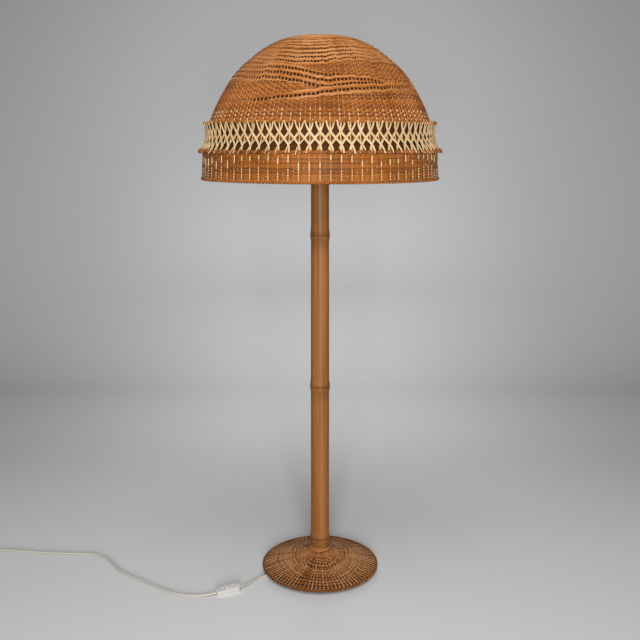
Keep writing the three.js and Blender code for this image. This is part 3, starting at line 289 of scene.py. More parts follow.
def wear_group():
    """Fine dust and handling marks over a moulded, cast or turned piece."""
    tree, given = new_group("Handling marks", ("Base", "Mark"), {
        "Mark share": 0.2, "Grain size": 0.002, "Roughness": 0.5})
    place = node(tree, "ShaderNodeTexCoord").outputs["Object"]
    fine = noise(tree, place, math_node(tree, "DIVIDE", 1.0, given["Grain size"]), 2.0)
    broad = noise(tree, place, 45.0, 3.0)
    mark = math_node(tree, "SUBTRACT", broad, 0.4, clamp=True)
    mark = math_node(tree, "MULTIPLY", mark, given["Mark share"])
    mark = math_node(tree, "MULTIPLY", mark, 3.0, clamp=True)
    rough = math_node(tree, "MULTIPLY_ADD", broad, 0.16, -0.08)
    rough = math_node(tree, "ADD", rough, given["Roughness"], clamp=True)
    return put_out(tree, blend_colours(tree, mark, given["Base"], given["Mark"]), rough, fine)


groups = {}


def effect(material, maker, values):
    """Places a shared effect in a material, and builds it the first time."""
    if maker.__name__ not in groups:
        groups[maker.__name__] = maker()
    placed = node(material.node_tree, "ShaderNodeGroup", node_tree=groups[maker.__name__])
    for key, value in values.items():
        placed.inputs[key].default_value = value
    return placed


def new_material(name, **constants):
    material = bpy.data.materials.new(name)
    material.use_nodes = True
    shader = material.node_tree.nodes["Principled BSDF"]
    for key, value in constants.items():
        shader.inputs[key.replace("_", " ")].default_value = value
    return material, shader


def colour4(colour):
    return (*colour[:3], 1.0)


def dress(material, shader, placed, bump_distance, bump_strength=1.0):
    """Joins an effect's colour, roughness and height to the shader."""
    tree = material.node_tree
    tree.links.new(placed.outputs["Colour"], shader.inputs["Base Color"])
    tree.links.new(placed.outputs["Roughness"], shader.inputs["Roughness"])
    bump = node(tree, "ShaderNodeBump", {
        "Height": placed.outputs["Height"], "Distance": bump_distance, "Strength": bump_strength})
    tree.links.new(bump.outputs[0], shader.inputs["Normal"])
    return material


def cane_material(name, dark, middle, light, **shares):
    material, shader = new_material(name, Specular_IOR_Level=0.3)
    placed = effect(material, cane_fibre_group, {
        "Dark": colour4(dark), "Middle": colour4(middle), "Light": colour4(light),
        **{key.replace("_", " "): value for key, value in shares.items()}})
    return dress(material, shader, placed, 0.0003, 0.6)


def marked_material(name, base, mark, roughness, mark_share=0.2, grain=0.002, bump=0.0001, **constants):
    material, shader = new_material(name, **constants)
    placed = effect(material, wear_group, {
        "Base": colour4(base), "Mark": colour4(mark), "Mark share": mark_share,
        "Grain size": grain, "Roughness": roughness})
    return dress(material, shader, placed, bump)


# Sizes and colours that a user may change


def length_prop(name, about, value):
    return bpy.props.FloatProperty(
        name=name, description=about, default=value, min=0.0, unit="LENGTH", precision=4)


def colour_prop(name, about, value):
    return bpy.props.FloatVectorProperty(
        name=name, description=about, default=value, size=3, subtype="COLOR", min=0.0, max=1.0)


class LampViewSettings(bpy.types.PropertyGroup):
    distance: length_prop("Distance", "From the lamp's axis to the camera, along the floor", 2.137)
    height: length_prop("Height", "Of the camera over the floor", 1.143)
    pitch: bpy.props.FloatProperty(
        name="Pitch", description="How far the camera looks down", default=math.radians(11.8),
        subtype="ANGLE")
    lens: bpy.props.FloatProperty(
        name="Lens", description="Focal length in millimetres", default=47.25, min=1.0)


class LampWeaveSettings(bpy.types.PropertyGroup):
    weaver: length_prop("Weaver", "Thickness of the weavers", 0.0025)
    spread: length_prop("Weaver's width", "Of the weavers where they lie side by side", 0.0031)
    stake: length_prop("Stake", "Thickness of the upright stakes", 0.0024)
    pitch: length_prop("Row pitch", "From one row of weaving to the next", 0.0029)
    gap: length_prop("Open row", "Height of the open rows between the smooth bands of the dome", 0.0077)
    # The darkest colour is the darkest weavers' own and also the painted shade of the dome's open rows.
    rattan_dark_and_painted_shade: colour_prop("Rattan, dark", "Darkest weavers", (0.075, 0.018, 0.004))
    rattan_middle: colour_prop("Rattan, middle", "Most weavers", (0.47, 0.15, 0.022))
    rattan_light: colour_prop("Rattan, light", "Palest weavers", (0.74, 0.36, 0.14))


class LampTrellisSettings(bpy.types.PropertyGroup):
    columns: bpy.props.IntProperty(
        name="Columns", description="Crossings round the trellis", default=78, min=12)
    cane: length_prop("Cane", "Width of the pale canes", 0.0029)
    cane_dark: colour_prop("Cane, dark", "Darkest canes of the trellis", (0.50, 0.29, 0.11))
    cane_middle: colour_prop("Cane, middle", "Most canes of the trellis", (0.76, 0.52, 0.26))
    cane_light: colour_prop("Cane, light", "Palest canes of the trellis", (0.88, 0.70, 0.44))
    # A dark card inside the shade, which stands for the shade there: painted shade behind the trellis and the
    # open rows.
    painted_shade_lining: colour_prop("Painted shade lining", "Colour of the card inside the shade", (0.075, 0.026, 0.006))


class LampCulmSettings(bpy.types.PropertyGroup):
    bamboo_dark: colour_prop("Bamboo, dark", "Stains and the rings at the nodes", (0.11, 0.035, 0.008))
    bamboo_middle: colour_prop("Bamboo, middle", "Most of the culm", (0.27, 0.094, 0.020))
    bamboo_light: colour_prop("Bamboo, light", "Palest fibres", (0.46, 0.19, 0.052))


class LampCordSettings(bpy.types.PropertyGroup):
    thickness: length_prop("Cord", "Thickness of the cord", 0.006)
    sheath: colour_prop("Sheath", "Colour of the cord", (0.72, 0.68, 0.58))
    plastic: colour_prop("Switch", "Colour of the switch and the plug", (0.84, 0.82, 0.77))


class LampStageSettings(bpy.types.PropertyGroup):
    # The floor's front is painted paler than the floor behind the lamp: painted light.
    floor: colour_prop("Floor", "Colour of the floor in front of and below the lamp", (1.0, 1.0, 1.0))
    wall: colour_prop("Backdrop", "Colour of the backdrop and the floor behind the lamp", (0.77, 0.77, 0.78))
    # The backdrop's top is painted darker: painted shade where the light falls off.
    top: colour_prop("Backdrop's top", "Colour of the backdrop high up", (0.64, 0.64, 0.65))
    bounce: colour_prop("Bounce", "Colour of the floor and the backdrop in the light that they throw back",
                        (0.20, 0.20, 0.20))
    # A paler patch of the backdrop behind the lamp: a painted glow of light.
    painted_glow: colour_prop("Backdrop's middle", "Colour of the backdrop behind the lamp", (0.97, 0.97, 0.98))


# Camera and cords

SWITCH_X, SWITCH_Y, SWITCH_ANGLE = -239.5, -139.0, math.radians(207.5)
SWITCH_LENGTH, SWITCH_SPLIT = 66.0, 7.5
GLAND_END, GLAND_ANGLE = 145.2, math.radians(201.5)
GLAND_HEIGHT = 4.2
NEAR_ROUTE = [
    (-144.6, -57.1, 3.5), (-153.5, -61.5, 3.1), (-163.5, -69.4, 3.1), (-174.5, -82, 3.1),
    (-184.5, -94.5, 3.1), (-193, -105.5, 3.6), (-201.5, -116.5, 5.6)]
FAR_ROUTE = [
    (-278, -156.6, 6.4), (-289, -157.6, 4.3), (-303, -158.4, 3.1), (-332, -160.3, 3.1),
    (-369.5, -152.9, 3.1), (-392.7, -140.5, 3.1), (-426.8, -118.3, 3.1), (-468.9, -88.8, 3.1),
    (-512.5, -58.1, 3.1), (-547.5, -27.1, 3.1), (-570.6, 3.1, 3.1), (-593.8, 32.9, 3.1),
    (-618.2, 52.8, 3.1), (-643.7, 63.5, 3.1), (-680.6, 66.5, 3.1), (-720, 68, 3.1),
    (-765, 71.5, 3.1), (-810, 76.5, 3.1), (-855, 82.5, 3.1), (-900, 88, 3.2),
    (-928, 90, 3.9), (-945, 90, 4.15)]
COIL_X, COIL_Y, COIL_OUTER, COIL_INNER = -960.0, 47.3, 42.7, 24.7
COIL_LAYER_TURNS, COIL_CLIMB_TURNS, COIL_RISE, COIL_LOW = 2.375, 0.5, 6.7, 4.15
COIL_STEPS_PER_TURN = 24
TAIL_RUN, TAIL_STRAIGHT, PLUG_MIDDLE = 36.0, 5.0, 6.75


def coil_points():
    """The coil's turns: inwards on the floor, up, and outwards again on top."""
    turns = 2 * COIL_LAYER_TURNS + COIL_CLIMB_TURNS
    steps = round(turns * COIL_STEPS_PER_TURN)
    points = []
    for i in range(steps + 1):
        turn = turns * i / steps
        inward = min(turn, turns - turn, COIL_LAYER_TURNS) / COIL_LAYER_TURNS
        climbed = min(max((turn - COIL_LAYER_TURNS) / COIL_CLIMB_TURNS, 0), 1)
        rise = COIL_RISE * (1 - math.cos(climbed * math.pi)) / 2
        angle = math.pi / 2 + turn * 2 * math.pi
        r = COIL_OUTER + inward * (COIL_INNER - COIL_OUTER)
        points.append((COIL_X + r * math.cos(angle), COIL_Y + r * math.sin(angle), COIL_LOW + rise))
    return points


def switch_end(way):
    reach = way * SWITCH_LENGTH / 2
    return (
        SWITCH_X + reach * math.cos(SWITCH_ANGLE), SWITCH_Y + reach * math.sin(SWITCH_ANGLE), SWITCH_SPLIT)


def cord_line(name, points, thickness, material):
    """A cord along its centreline, in millimetres, as one open spline."""
    line = smooth_line(points, 6) * MM
    curve = bpy.data.curves.new(name, "CURVE")
    curve.dimensions = "3D"
    spline = curve.splines.new("POLY")
    spline.points.add(len(line) - 1)
    spline.points.foreach_set("co", np.hstack([line, np.ones((len(line), 1))]).ravel())
    spline.use_smooth = True
    curve.bevel_depth = thickness / 2
    curve.bevel_resolution = 4
    curve.use_fill_caps = True
    curve.materials.append(material)
    return add_object(name, curve), line


class LAMP_OT_camera(bpy.types.Operator):
    """Sets up the camera at the photograph's place"""
    bl_idname = "lamp.camera"
    bl_label = "Camera"

    def execute(self, context):
        view = context.scene.lamp_view
        camera = bpy.data.cameras.new("Camera")
        camera.lens = view.lens
        holder = add_object("Camera", camera)
        holder.location = (0, -view.distance, view.height)
        holder.rotation_euler = (math.pi / 2 - view.pitch, 0, 0)
        context.scene.camera = holder
        return {"FINISHED"}


class LAMP_OT_cords(bpy.types.Operator):
    """Lays the cord from the foot to the switch and on to the coil and the plug"""
    bl_idname = "lamp.cords"
    bl_label = "Cords"

    def execute(self, context):
        settings = context.scene.lamp_cord
        sheath = marked_material("Cord sheath", settings.sheath, (0.5, 0.46, 0.38), 0.42, grain=0.0008)
        start = (GLAND_END * math.cos(GLAND_ANGLE), GLAND_END * math.sin(GLAND_ANGLE), GLAND_HEIGHT)
        near, line = cord_line(
            "cord_near_lead", [start, *NEAR_ROUTE, switch_end(-1)], settings.thickness, sheath)
        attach(near, "stand")
        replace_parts(near, "cord_near")
        coil = coil_points()
        end_x, end_y, end_z = coil[-1]
        tail = [
            (end_x, end_y - TAIL_STRAIGHT, end_z),
            (end_x, end_y - TAIL_RUN / 2, (end_z + PLUG_MIDDLE) / 2),
            (end_x, end_y - TAIL_RUN + TAIL_STRAIGHT, PLUG_MIDDLE),
            (end_x, end_y - TAIL_RUN, PLUG_MIDDLE)]
        far, line = cord_line(
            "cord_far_lead", [switch_end(1), *FAR_ROUTE, *coil, *tail], settings.thickness, sheath)
        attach(far, "stand")
        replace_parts(far, "cord_far", "cord_coil", "cord_tail")
        return {"FINISHED"}


# Woven pieces

# From which share of the way up the dome there are how many stakes, and where the last ones end
STAKE_ZONES, STAKES_END = [(0.0, 156), (0.63, 104), (0.75, 78), (0.84, 52), (0.92, 26)], 0.985
STAKE_ZONE_BLEND, STAKE_STEP, STAKE_OVER = 0.03, 0.008, 0.0003
STEPS_PER_STAKE = 4


def over_under(stakes_over, share_along):
    """Height of a weaver, from -1 to 1, between stakes that it passes over or under."""
    count = len(stakes_over)
    j = np.floor(share_along).astype(int)
    f = share_along - j
    a, b = stakes_over[j % count], stakes_over[(j + 1) % count]
    return a + (b - a) * (1 - np.cos(f * math.pi)) / 2


def lens_share(angle, start, span):
    """Thickness, from 0 to 1, of a lens of short rows that begins at an angle and covers that span."""
    turned = np.mod(angle - start, 2 * math.pi)
    return np.where(turned < span, np.sin(np.clip(turned / span, 0, 1) * math.pi), 0.0)


def degrees_of(*pairs):
    return [tuple(math.radians(value) for value in pair) for pair in pairs]


# Where the short rows of each lens begin, in degrees round from the front, and how many degrees they cover
DOME_LENSES = {
    "foot": degrees_of((-10, 130), (170, 120)), "lower": degrees_of((-45, 130), (135, 130)),
    "low": degrees_of((-140, 143), (70, 110)), "middle": degrees_of((-170, 215), (60, 115)),
    "high": degrees_of((-16, 140), (150, 130))}
FOOT_LENSES = {"outer": degrees_of((-165, 150), (20, 120)), "inner": degrees_of((-60, 150), (120, 130))}
DOME_OUTLINE_SHARES = [
    (1, 0), (0.951, 0.157), (0.896, 0.296), (0.832, 0.436), (0.755, 0.575), (0.642, 0.713), (0.5, 0.852),
    (0.333, 0.953), (0.165, 0.991), (0.03, 1)]
SHORTEST_ROW, ROW_SHOWS_FROM = 12, 0.2
BAND_PITCH_SHARE, DOME_LIFT_SHARE = 0.92, 0.85
CROWN_RINGS = [0.0016, 0.0045, 0.0074, 0.0103]
PALE_STAKE_TOP, PALE_STAKE_OVER = 0.03, 0.0009


def dome_outline(inset):
    radius, foot, crown = radius_of("dome_weave"), foot_of("dome_weave"), top_of("dome_weave")
    return [((radius - inset) * r, foot + (crown - foot - inset) * z) for r, z in DOME_OUTLINE_SHARES]


def lens_rows(kinds, lens):
    """Rows of a lens, or of none, as (kind, height, lens, how far through the lens it comes)."""
    return [(kind, height, lens, (i + 0.5) / len(kinds)) for i, (kind, height) in enumerate(kinds)]


def dome_rows(settings):
    """From foot to crown, each row as (kind, height, lens, place in its lens)."""
    plain = ("plain", settings.pitch)
    band = [("float", settings.pitch * BAND_PITCH_SHARE)] * 3 + [("gap", settings.gap)]
    rows = lens_rows([plain] * 17, None) + lens_rows([plain] * 11, "foot") + lens_rows(band * 2, "lower")
    rows += lens_rows([plain] * 23, "low") + lens_rows(band * 4, "middle") + lens_rows([plain] * 23, "high")
    return rows + lens_rows(band * 13 + [plain] * 3, None)


def lay_rows(rows, lenses, length):
    """At each degree of angle, the share of its height that each row has and its place up the outline. The
    rows of a lens end one after another, the outer ones first."""
    angles = np.linspace(0, 2 * math.pi, 721)
    shares = np.ones((len(rows), len(angles)))
    for share, (_, _, lens, place) in zip(shares, rows):
        if lens:
            count = sum(row[2] == lens for row in rows)
            thickness = np.max([lens_share(angles, *one) for one in lenses[lens]], 0)
            share[:] = np.clip((thickness - 2 * abs(place - 0.5)) * count, 0, 1)
    weights = shares * np.array([[row[1]] for row in rows])
    upto = np.cumsum(weights, 0)
    return angles, shares, (upto - weights / 2) / upto[-1] * length


def runs_of(whole):
    """The stretches of a closed line where whole is true, as lists of places."""
    if whole.all():
        return []
    starts = np.flatnonzero(whole & ~np.roll(whole, 1))
    turns = [(start + np.arange(len(whole))) % len(whole) for start in starts]
    return [turn[:np.argmin(whole[turn])] for turn in turns]


def weave_rows(strands, shell, rows, lenses, length, counts, patterns, lift, thickness):
    """Rows of weaving in and out of the stakes. At each angle the rows share out the whole outline."""
    angles, shares, places = lay_rows(rows, lenses, length)
    for k, (kind, height, lens, _) in enumerate(rows):
        if kind not in patterns:
            continue
        count = counts(float(places[k].mean()))
        over, tone, width = patterns[kind](np.arange(count), k)
        along = np.arange(count * STEPS_PER_STAKE) / STEPS_PER_STAKE
        turn = along * 2 * math.pi / count
        up = np.interp(turn, angles, places[k])
        line, normals = shell.place(turn, up, over_under(over, along) * lift)
        tone += rng.uniform(-0.3, 0.3)
        if lens:
            share = np.interp(turn, angles, shares[k])
            for run in runs_of(share > ROW_SHOWS_FROM):
                if len(run) > SHORTEST_ROW:
                    strands.add(line[run], normals[run], width, thickness, tone, taper=3)
        else:
            strands.add(line, normals, width, thickness, tone, closed=True)


# How the weavers of each kind of row pass the stakes, over (1) or under (-1), their tone and their width
DOME_PATTERNS = {
    # The smooth bands' weavers take a paler tone than the plain rows, partly their own colour and partly a
    # painted sheen on the bands.
    "float": lambda stake, row: (np.where((stake + row * 7) % 9 == 0, 0.1, 1.0), 0.78, 0.0031),
    # The open rows' weaver lies deep and takes a tone below the darkest, which clamps it to the darkest
    # colour: painted shade in the dome's open rows.
    "gap": lambda stake, row: (np.full(len(stake), -1.1), -1.4, 0.0040),
    "plain": lambda stake, row: (np.where((stake + row // 2) % 2 == 0, -1.0, 1.0), 0.34, 0.0028),
}
FOOT_PATTERNS = {
    "weaver": lambda stake, row: (np.where((stake + row) % 2 == 0, -1.0, 1.0), 0.5, 0.0029),
    # The open rows' strand lies deep and takes a tone below the darkest, which clamps it to the darkest
    # colour: painted shade in the foot's open rows.
    "open": lambda stake, row: (np.full(len(stake), -2.2), -1.5, 0.0064),
}


def stakes_at(share):
    """How many stakes there are at a share of the way from the dome's foot to its crown."""
    return [count for start, count in STAKE_ZONES if share >= start][-1]


def raise_stakes(shell, settings, columns):
    """The dome's stakes, in the weavers' zones. At the foot every second one is a pale cane's end."""
    brown, pale = Strands(), Strands()
    for (start, count), after in zip(STAKE_ZONES, [zone[0] for zone in STAKE_ZONES[1:]] + [STAKES_END]):
        steps = max(6, round((after - start) * shell.total / STAKE_STEP))
        up = np.minimum(np.linspace(start, after + STAKE_ZONE_BLEND, steps), STAKES_END) * shell.total
        for angle in full_turn(count):
            brown.add(
                *shell.place(angle, up, STAKE_OVER), settings.stake, settings.stake, rng.uniform(0.5, 1.1))
    for angle in full_turn(columns):
        up = np.linspace(0, PALE_STAKE_TOP * rng.uniform(0.7, 1.1), 8)
        pale.add(*shell.place(angle, up, PALE_STAKE_OVER), settings.stake * 1.2, settings.stake,
                 rng.uniform(0.5, 1.0))
    return brown, pale


def twisted_rope(strands, middle_r, middle_z, radius, cane, twists, tone):
    """A rope of two canes laid in a ring."""
    turn = full_turn(twists * 10)
    for start in (0, math.pi):
        wind = turn * twists + start
        line = round_axis(middle_r + radius * np.cos(wind), turn, middle_z + radius * np.sin(wind))
        strands.add(line, round_axis(np.cos(wind), turn, np.sin(wind)), cane, cane,
                    tone + rng.uniform(-0.2, 0.2), closed=True)


class LAMP_OT_dome(bpy.types.Operator):
    """Weaves the dome over its stakes, with its smooth bands, open rows and lenses of short rows"""
    bl_idname = "lamp.dome"
    bl_label = "Dome"

    def execute(self, context):
        settings, trellis = context.scene.lamp_weave, context.scene.lamp_trellis
        rattan = cane_material(
            "Rattan", settings.rattan_dark_and_painted_shade, settings.rattan_middle, settings.rattan_light,
            Tone_share=0.7, Fibre_share=0.35, Patch_size=0.06, Patch_share=0.45)
        cane = cane_material(
            "Pale cane", trellis.cane_dark, trellis.cane_middle, trellis.cane_light,
            Tone_share=0.6, Fibre_share=0.3, Patch_size=0.03, Patch_share=0.3)
        inset, crown = settings.weaver / 2, top_of("dome_weave")
        shell, strands = Shell(dome_outline(inset)), Strands()
        weave_rows(
            strands, shell, dome_rows(settings), DOME_LENSES, shell.total - settings.pitch * 2,
            lambda up: stakes_at(up / shell.total), DOME_PATTERNS,
            (settings.weaver + settings.stake) / 2 * DOME_LIFT_SHARE, settings.weaver)
        turn = full_turn(48)
        for ring in CROWN_RINGS:
            strands.add(round_axis(ring, turn, crown - inset), round_axis(0.0, turn, 1.0), settings.spread,
                        settings.weaver, rng.uniform(0.2, 0.7), closed=True)
        weavers = strands.build("dome_weavers", rattan)
        brown, pale = raise_stakes(shell, settings, trellis.columns)
        for piece, slot in (
                (weavers, "rattan"), (brown.build("dome_stakes", rattan), "rattan"),
                (pale.build("dome_pale_stakes", cane), "cane")):
            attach(piece, "shade")
        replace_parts(weavers, "dome_weave")
        return {"FINISHED"}


# Radii and heights of the trellis, from its foot to its top, in millimetres, as the other heights here are
TRELLIS_OUTLINE = [
    (299.5, 1121.5), (294.5, 1130), (287.5, 1143), (282, 1156.5), (280.8, 1170), (281.8, 1183), (285.5, 1197)]
# About a column's width, in millimetres, for even steps along a cane's route
COLUMN_WIDTH = 24
# Where a pale cane is at each height: how many columns it has moved, and how far it lies from its twin
CANE_ROUTE = [
    (1194, -0.38, 0.6), (1182, -0.25, 0.9), (1171, 0.0, 1.2), (1156.5, 0.5, 1.35), (1142.5, 1.0, 1.2),
    (1133, 1.17, 0.9), (1124, 1.22, 0.6)]
# Outside the middle two heights a cane strays from its route, up to so many columns, and ends short or long
STRAY_HEIGHTS, STRAY_COLUMNS, STRAY_LENGTHS = [1124, 1142, 1171, 1193], 0.07, (-0.003, 0.002)
UPRIGHT_FOOT, UPRIGHT_TOP, UPRIGHT_LAYERS_IN = 1129, 1189, 2.4
LAYER_SHARE, THICKNESS_SHARE, KNOT_OFFSET = 0.42, 0.75, 0.24
BINDER_HEIGHT, BINDER_WIDTH, BINDER_THICKNESS, BINDER_TONE = 1156.5, 0.0018, 0.0016, 0.35
LOWER_KNOTS, UPPER_KNOTS, KNOT_SHARE, KNOT_STEPS = 1126.5, 1193.5, 0.8, 7
# Of the knots of each border: half their height, how far they bulge, their width and their thickness
LOWER_KNOT, UPPER_KNOT = (5, 0.0022, 0.0050, 0.0036), (3.5, 0.0014, 0.0046, 0.0034)
# Radius and height of each border's middle, and the radius at which its two canes wind
UPPER_ROPE, LOWER_ROPE, BORDER_CANE = (0.2794, 1.1925, 0.0020), (0.2932, 1.1272, 0.0022), 0.0044


def twin_canes(strands, shell, turn, up, apart, over, width, thickness):
    """Two canes side by side along one way over the shell."""
    radius = shell.radius(up)
    across, along = np.gradient(turn * radius), np.gradient(up)
    size = np.hypot(across, along)
    for side in (-1, 1):
        place = turn - side * apart * along / size / radius, up + side * apart * across / size
        strands.add(*shell.place(*place, over), width, thickness, rng.uniform(0.25, 0.95))


def knot(strands, shell, turn, lean, middle, size, over, tone):
    """A short cane that bulges over what it binds."""
    half, bulge, width, thickness = size
    share = np.linspace(-1, 1, KNOT_STEPS)
    up = shell.up_at(middle + half * share)
    strands.add(*shell.place(turn + share * lean, up, over + bulge * np.cos(share * 1.5)),
                width, thickness, tone, taper=2)


class LAMP_OT_trellis(bpy.types.Operator):
    """Builds the open trellis: crossing pale canes, upright stakes, the thin weaver and the two borders"""
    bl_idname = "lamp.trellis"
    bl_label = "Trellis"

    def execute(self, context):
        settings = context.scene.lamp_trellis
        cane, rattan = bpy.data.materials["Pale cane"], bpy.data.materials["Rattan"]
        shell = Shell([(r * MM, z * MM) for r, z in TRELLIS_OUTLINE])
        pitch = 2 * math.pi / settings.columns
        route = smooth_line([
            (shell.up_at(z) / MM, moved * COLUMN_WIDTH, apart) for z, moved, apart in CANE_ROUTE], 5)
        route_up, moved, apart = route[:, 0] * MM, route[:, 1] / COLUMN_WIDTH, route[:, 2] * MM
        both_ends = np.interp(route_up, shell.up_at(STRAY_HEIGHTS), [1, 0, 0, 1])
        outwards = np.interp(route_up, shell.up_at(STRAY_HEIGHTS), [-1, 0, 0, 1])
        layer, thickness = settings.cane * LAYER_SHARE, settings.cane * THICKNESS_SHARE
        canes, uprights, knots = {1: Strands(), -1: Strands()}, Strands(), Strands()
        for column in range(settings.columns):
            for way in (1, -1):
                stray = both_ends * rng.uniform(-STRAY_COLUMNS, STRAY_COLUMNS)
                longer = outwards * rng.uniform(*STRAY_LENGTHS)
                twin_canes(
                    canes[way], shell, (column + way * moved + stray) * pitch, route_up + longer, apart,
                    layer * way, settings.cane, thickness)
            up = np.linspace(shell.up_at(UPRIGHT_FOOT), shell.up_at(UPRIGHT_TOP), 9)
            turn = (column + rng.uniform(-0.03, 0.03)) * pitch
            uprights.add(*shell.place(turn, up, -layer * UPRIGHT_LAYERS_IN), settings.cane * 1.1, thickness,
                         rng.uniform(0.3, 0.9))
            for side in (-KNOT_OFFSET, KNOT_OFFSET):
                if rng.uniform() < KNOT_SHARE:
                    middle = LOWER_KNOTS + rng.uniform(-1.5, 1.5)
                    knot(knots, shell, (column + side + rng.uniform(-0.05, 0.05)) * pitch, 0.05 * pitch,
                         middle, LOWER_KNOT, layer, rng.uniform(-0.2, 0.5))
            knot(knots, shell, (column + rng.uniform(0.3, 0.5)) * pitch, 0.1 * pitch,
                 UPPER_KNOTS, UPPER_KNOT, 0.0, rng.uniform(0.0, 0.8))
        binder = Strands()
        turn = full_turn(settings.columns * 12)
        for start in (0, math.pi):
            wind = turn * settings.columns + start
            binder.add(*shell.place(turn, shell.up_at(BINDER_HEIGHT) + BINDER_WIDTH / 2 * np.sin(wind),
                                    -layer * UPRIGHT_LAYERS_IN + 0.0022 * np.cos(wind)),
                       BINDER_WIDTH, BINDER_THICKNESS, BINDER_TONE, closed=True)
        borders = Strands()
        twisted_rope(borders, *UPPER_ROPE, BORDER_CANE, settings.columns, 0.35)
        twisted_rope(borders, *LOWER_ROPE, BORDER_CANE, settings.columns, 0.3)
        upper = canes[1].build("trellis_canes_right", cane)
        lower = canes[-1].build("trellis_canes_left", cane)
        stakes = uprights.build("trellis_uprights", cane)
        weaver = binder.build("trellis_binder", rattan)
        for piece, slot in (
                (upper, "cane"), (lower, "cane"), (stakes, "cane"), (weaver, "rattan"),
                (borders.build("trellis_borders", rattan), "rattan"),
                (knots.build("trellis_knots", rattan), "rattan")):
            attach(piece, "shade")
        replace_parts(upper, "upper_border_canes")
        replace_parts(lower, "lower_border_canes")
        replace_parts(stakes, "trellis_stakes")
        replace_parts(weaver, "trellis_weaver")
        return {"FINISHED"}


# Radii and heights of the lining below the dome, in millimetres
LINING_SKIRT = [(288.7, 1062.6), (287.1, 1095), (285.5, 1122), (284, 1127), (280.5, 1138), (275.6, 1150),
                (274, 1165), (272, 1190)]
LINING_DEPTH, LINING_THICKNESS, LINING_SIDES = 0.0039, 0.0004, 180


class LAMP_OT_lining(bpy.types.Operator):
    """Lines the shade with thin dark card, put there as painted shade: it darkens what shows through the
    trellis and the open rows
    """
    bl_idname = "lamp.lining"
    bl_label = "Painted shade lining"

    def execute(self, context):
        outline = [(r * MM, z * MM) for r, z in LINING_SKIRT]
        shell = Shell(outline + dome_outline(context.scene.lamp_weave.weaver / 2 + LINING_DEPTH), 6)
        inner = np.stack([shell.r, shell.z], 1)
        outer = inner + LINING_THICKNESS * unit(np.stack([shell.out_r, shell.out_z], 1))
        loop = np.concatenate([outer, inner[::-1]])
        painted_shade_lining = ring_skin(
            "painted_shade_card", round_axis(loop[:, :1], full_turn(LINING_SIDES), loop[:, 1:]), marked_material(
                "Painted shade lining", context.scene.lamp_trellis.painted_shade_lining, (0.12, 0.05, 0.02), 0.9, mark_share=0.4,
                Specular_IOR_Level=0.1))
        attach(painted_shade_lining, "shade")
        return {"FINISHED"}


# How far the middle of the skirt's weave lies in from its outside, at its foot, halfway and at its top
SKIRT_INSETS, SKIRT_LIFT_SHARE = (0.0029, 0.0046, 0.0062), 0.55
# At each column, in rows from the top: where the pale dash starts, its length, and where the dots start
DASH_START, DASH_LENGTH, DOTS_START = (1, 8), (3, 7), (11, 15)
SKIRT_STAKE_STEPS, SKIRT_STAKE_WIDTH_SHARE, SKIRT_PALE_OVER = 12, 1.35, 0.0010
# Of the rim's rope: how far in and up its middle lies, its canes' winding radius and width, and its twists
RIM_IN, RIM_UP, RIM_WIND, RIM_CANE, RIM_TWISTS = 0.0036, 0.0004, 0.0018, 0.0036, 110


class LAMP_OT_skirt(bpy.types.Operator):
    """Weaves the skirt and twists the rope along its foot"""
    bl_idname = "lamp.skirt"
    bl_label = "Skirt"

    def execute(self, context):
        settings, trellis = context.scene.lamp_weave, context.scene.lamp_trellis
        rattan, cane = bpy.data.materials["Rattan"], bpy.data.materials["Pale cane"]
        low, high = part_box("skirt_weave")
        levels = (low.z, (low.z + high.z) / 2, high.z)
        shell = Shell([(high.x - inset, level) for inset, level in zip(SKIRT_INSETS, levels)])
        count = trellis.columns * 2
        rows = round(shell.total / settings.pitch)
        strands = Strands()
        lift = (settings.weaver + settings.stake) / 2 * SKIRT_LIFT_SHARE
        dash_start = rng.integers(*DASH_START, trellis.columns)
        dash_length = rng.integers(*DASH_LENGTH, trellis.columns)
        dots_start = rng.integers(*DOTS_START, trellis.columns)
        along = np.arange(count * STEPS_PER_STAKE) / STEPS_PER_STAKE
        turn = along * 2 * math.pi / count
        for k in range(rows):
            from_top = rows - 1 - k
            over = np.ones(count)
            for column in range(trellis.columns):
                start = dash_start[column]
                if start <= from_top < start + dash_length[column]:
                    over[2 * column] = -1
                elif from_top >= dots_start[column] and (from_top + column // 3) % 2:
                    over[2 * column] = -1
                if (k * 5 + column * 3) % 13 == 0:
                    over[2 * column + 1] = -0.6
            up = (k + 0.5) / rows * shell.total
            strands.add(
                *shell.place(turn, up, over_under(over, along) * lift), settings.spread, settings.weaver,
                rng.uniform(0.15, 0.55), closed=True)
        weavers = strands.build("skirt_weavers", rattan)
        pale, brown = Strands(), Strands()
        up = np.linspace(0, shell.total, SKIRT_STAKE_STEPS)
        for j, angle in enumerate(full_turn(count)):
            (brown if j % 2 else pale).add(
                *shell.place(angle, up, STAKE_OVER if j % 2 else SKIRT_PALE_OVER),
                settings.stake * SKIRT_STAKE_WIDTH_SHARE, settings.stake, rng.uniform(0.5, 1.1))
        pale, brown = pale.build("skirt_pale_stakes", cane), brown.build("skirt_brown_stakes", rattan)
        rope = Strands()
        low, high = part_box("rim_border")
        twisted_rope(
            rope, high.x - RIM_IN, (low.z + high.z) / 2 + RIM_UP, RIM_WIND, RIM_CANE, RIM_TWISTS, 0.4)
        rim = rope.build("skirt_rim", rattan)
        for piece, slot in ((weavers, "rattan"), (pale, "cane"), (brown, "rattan"), (rim, "rattan")):
            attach(piece, "shade")
        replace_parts(weavers, "skirt_weave")
        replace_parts(rim, "rim_border")
        return {"FINISHED"}


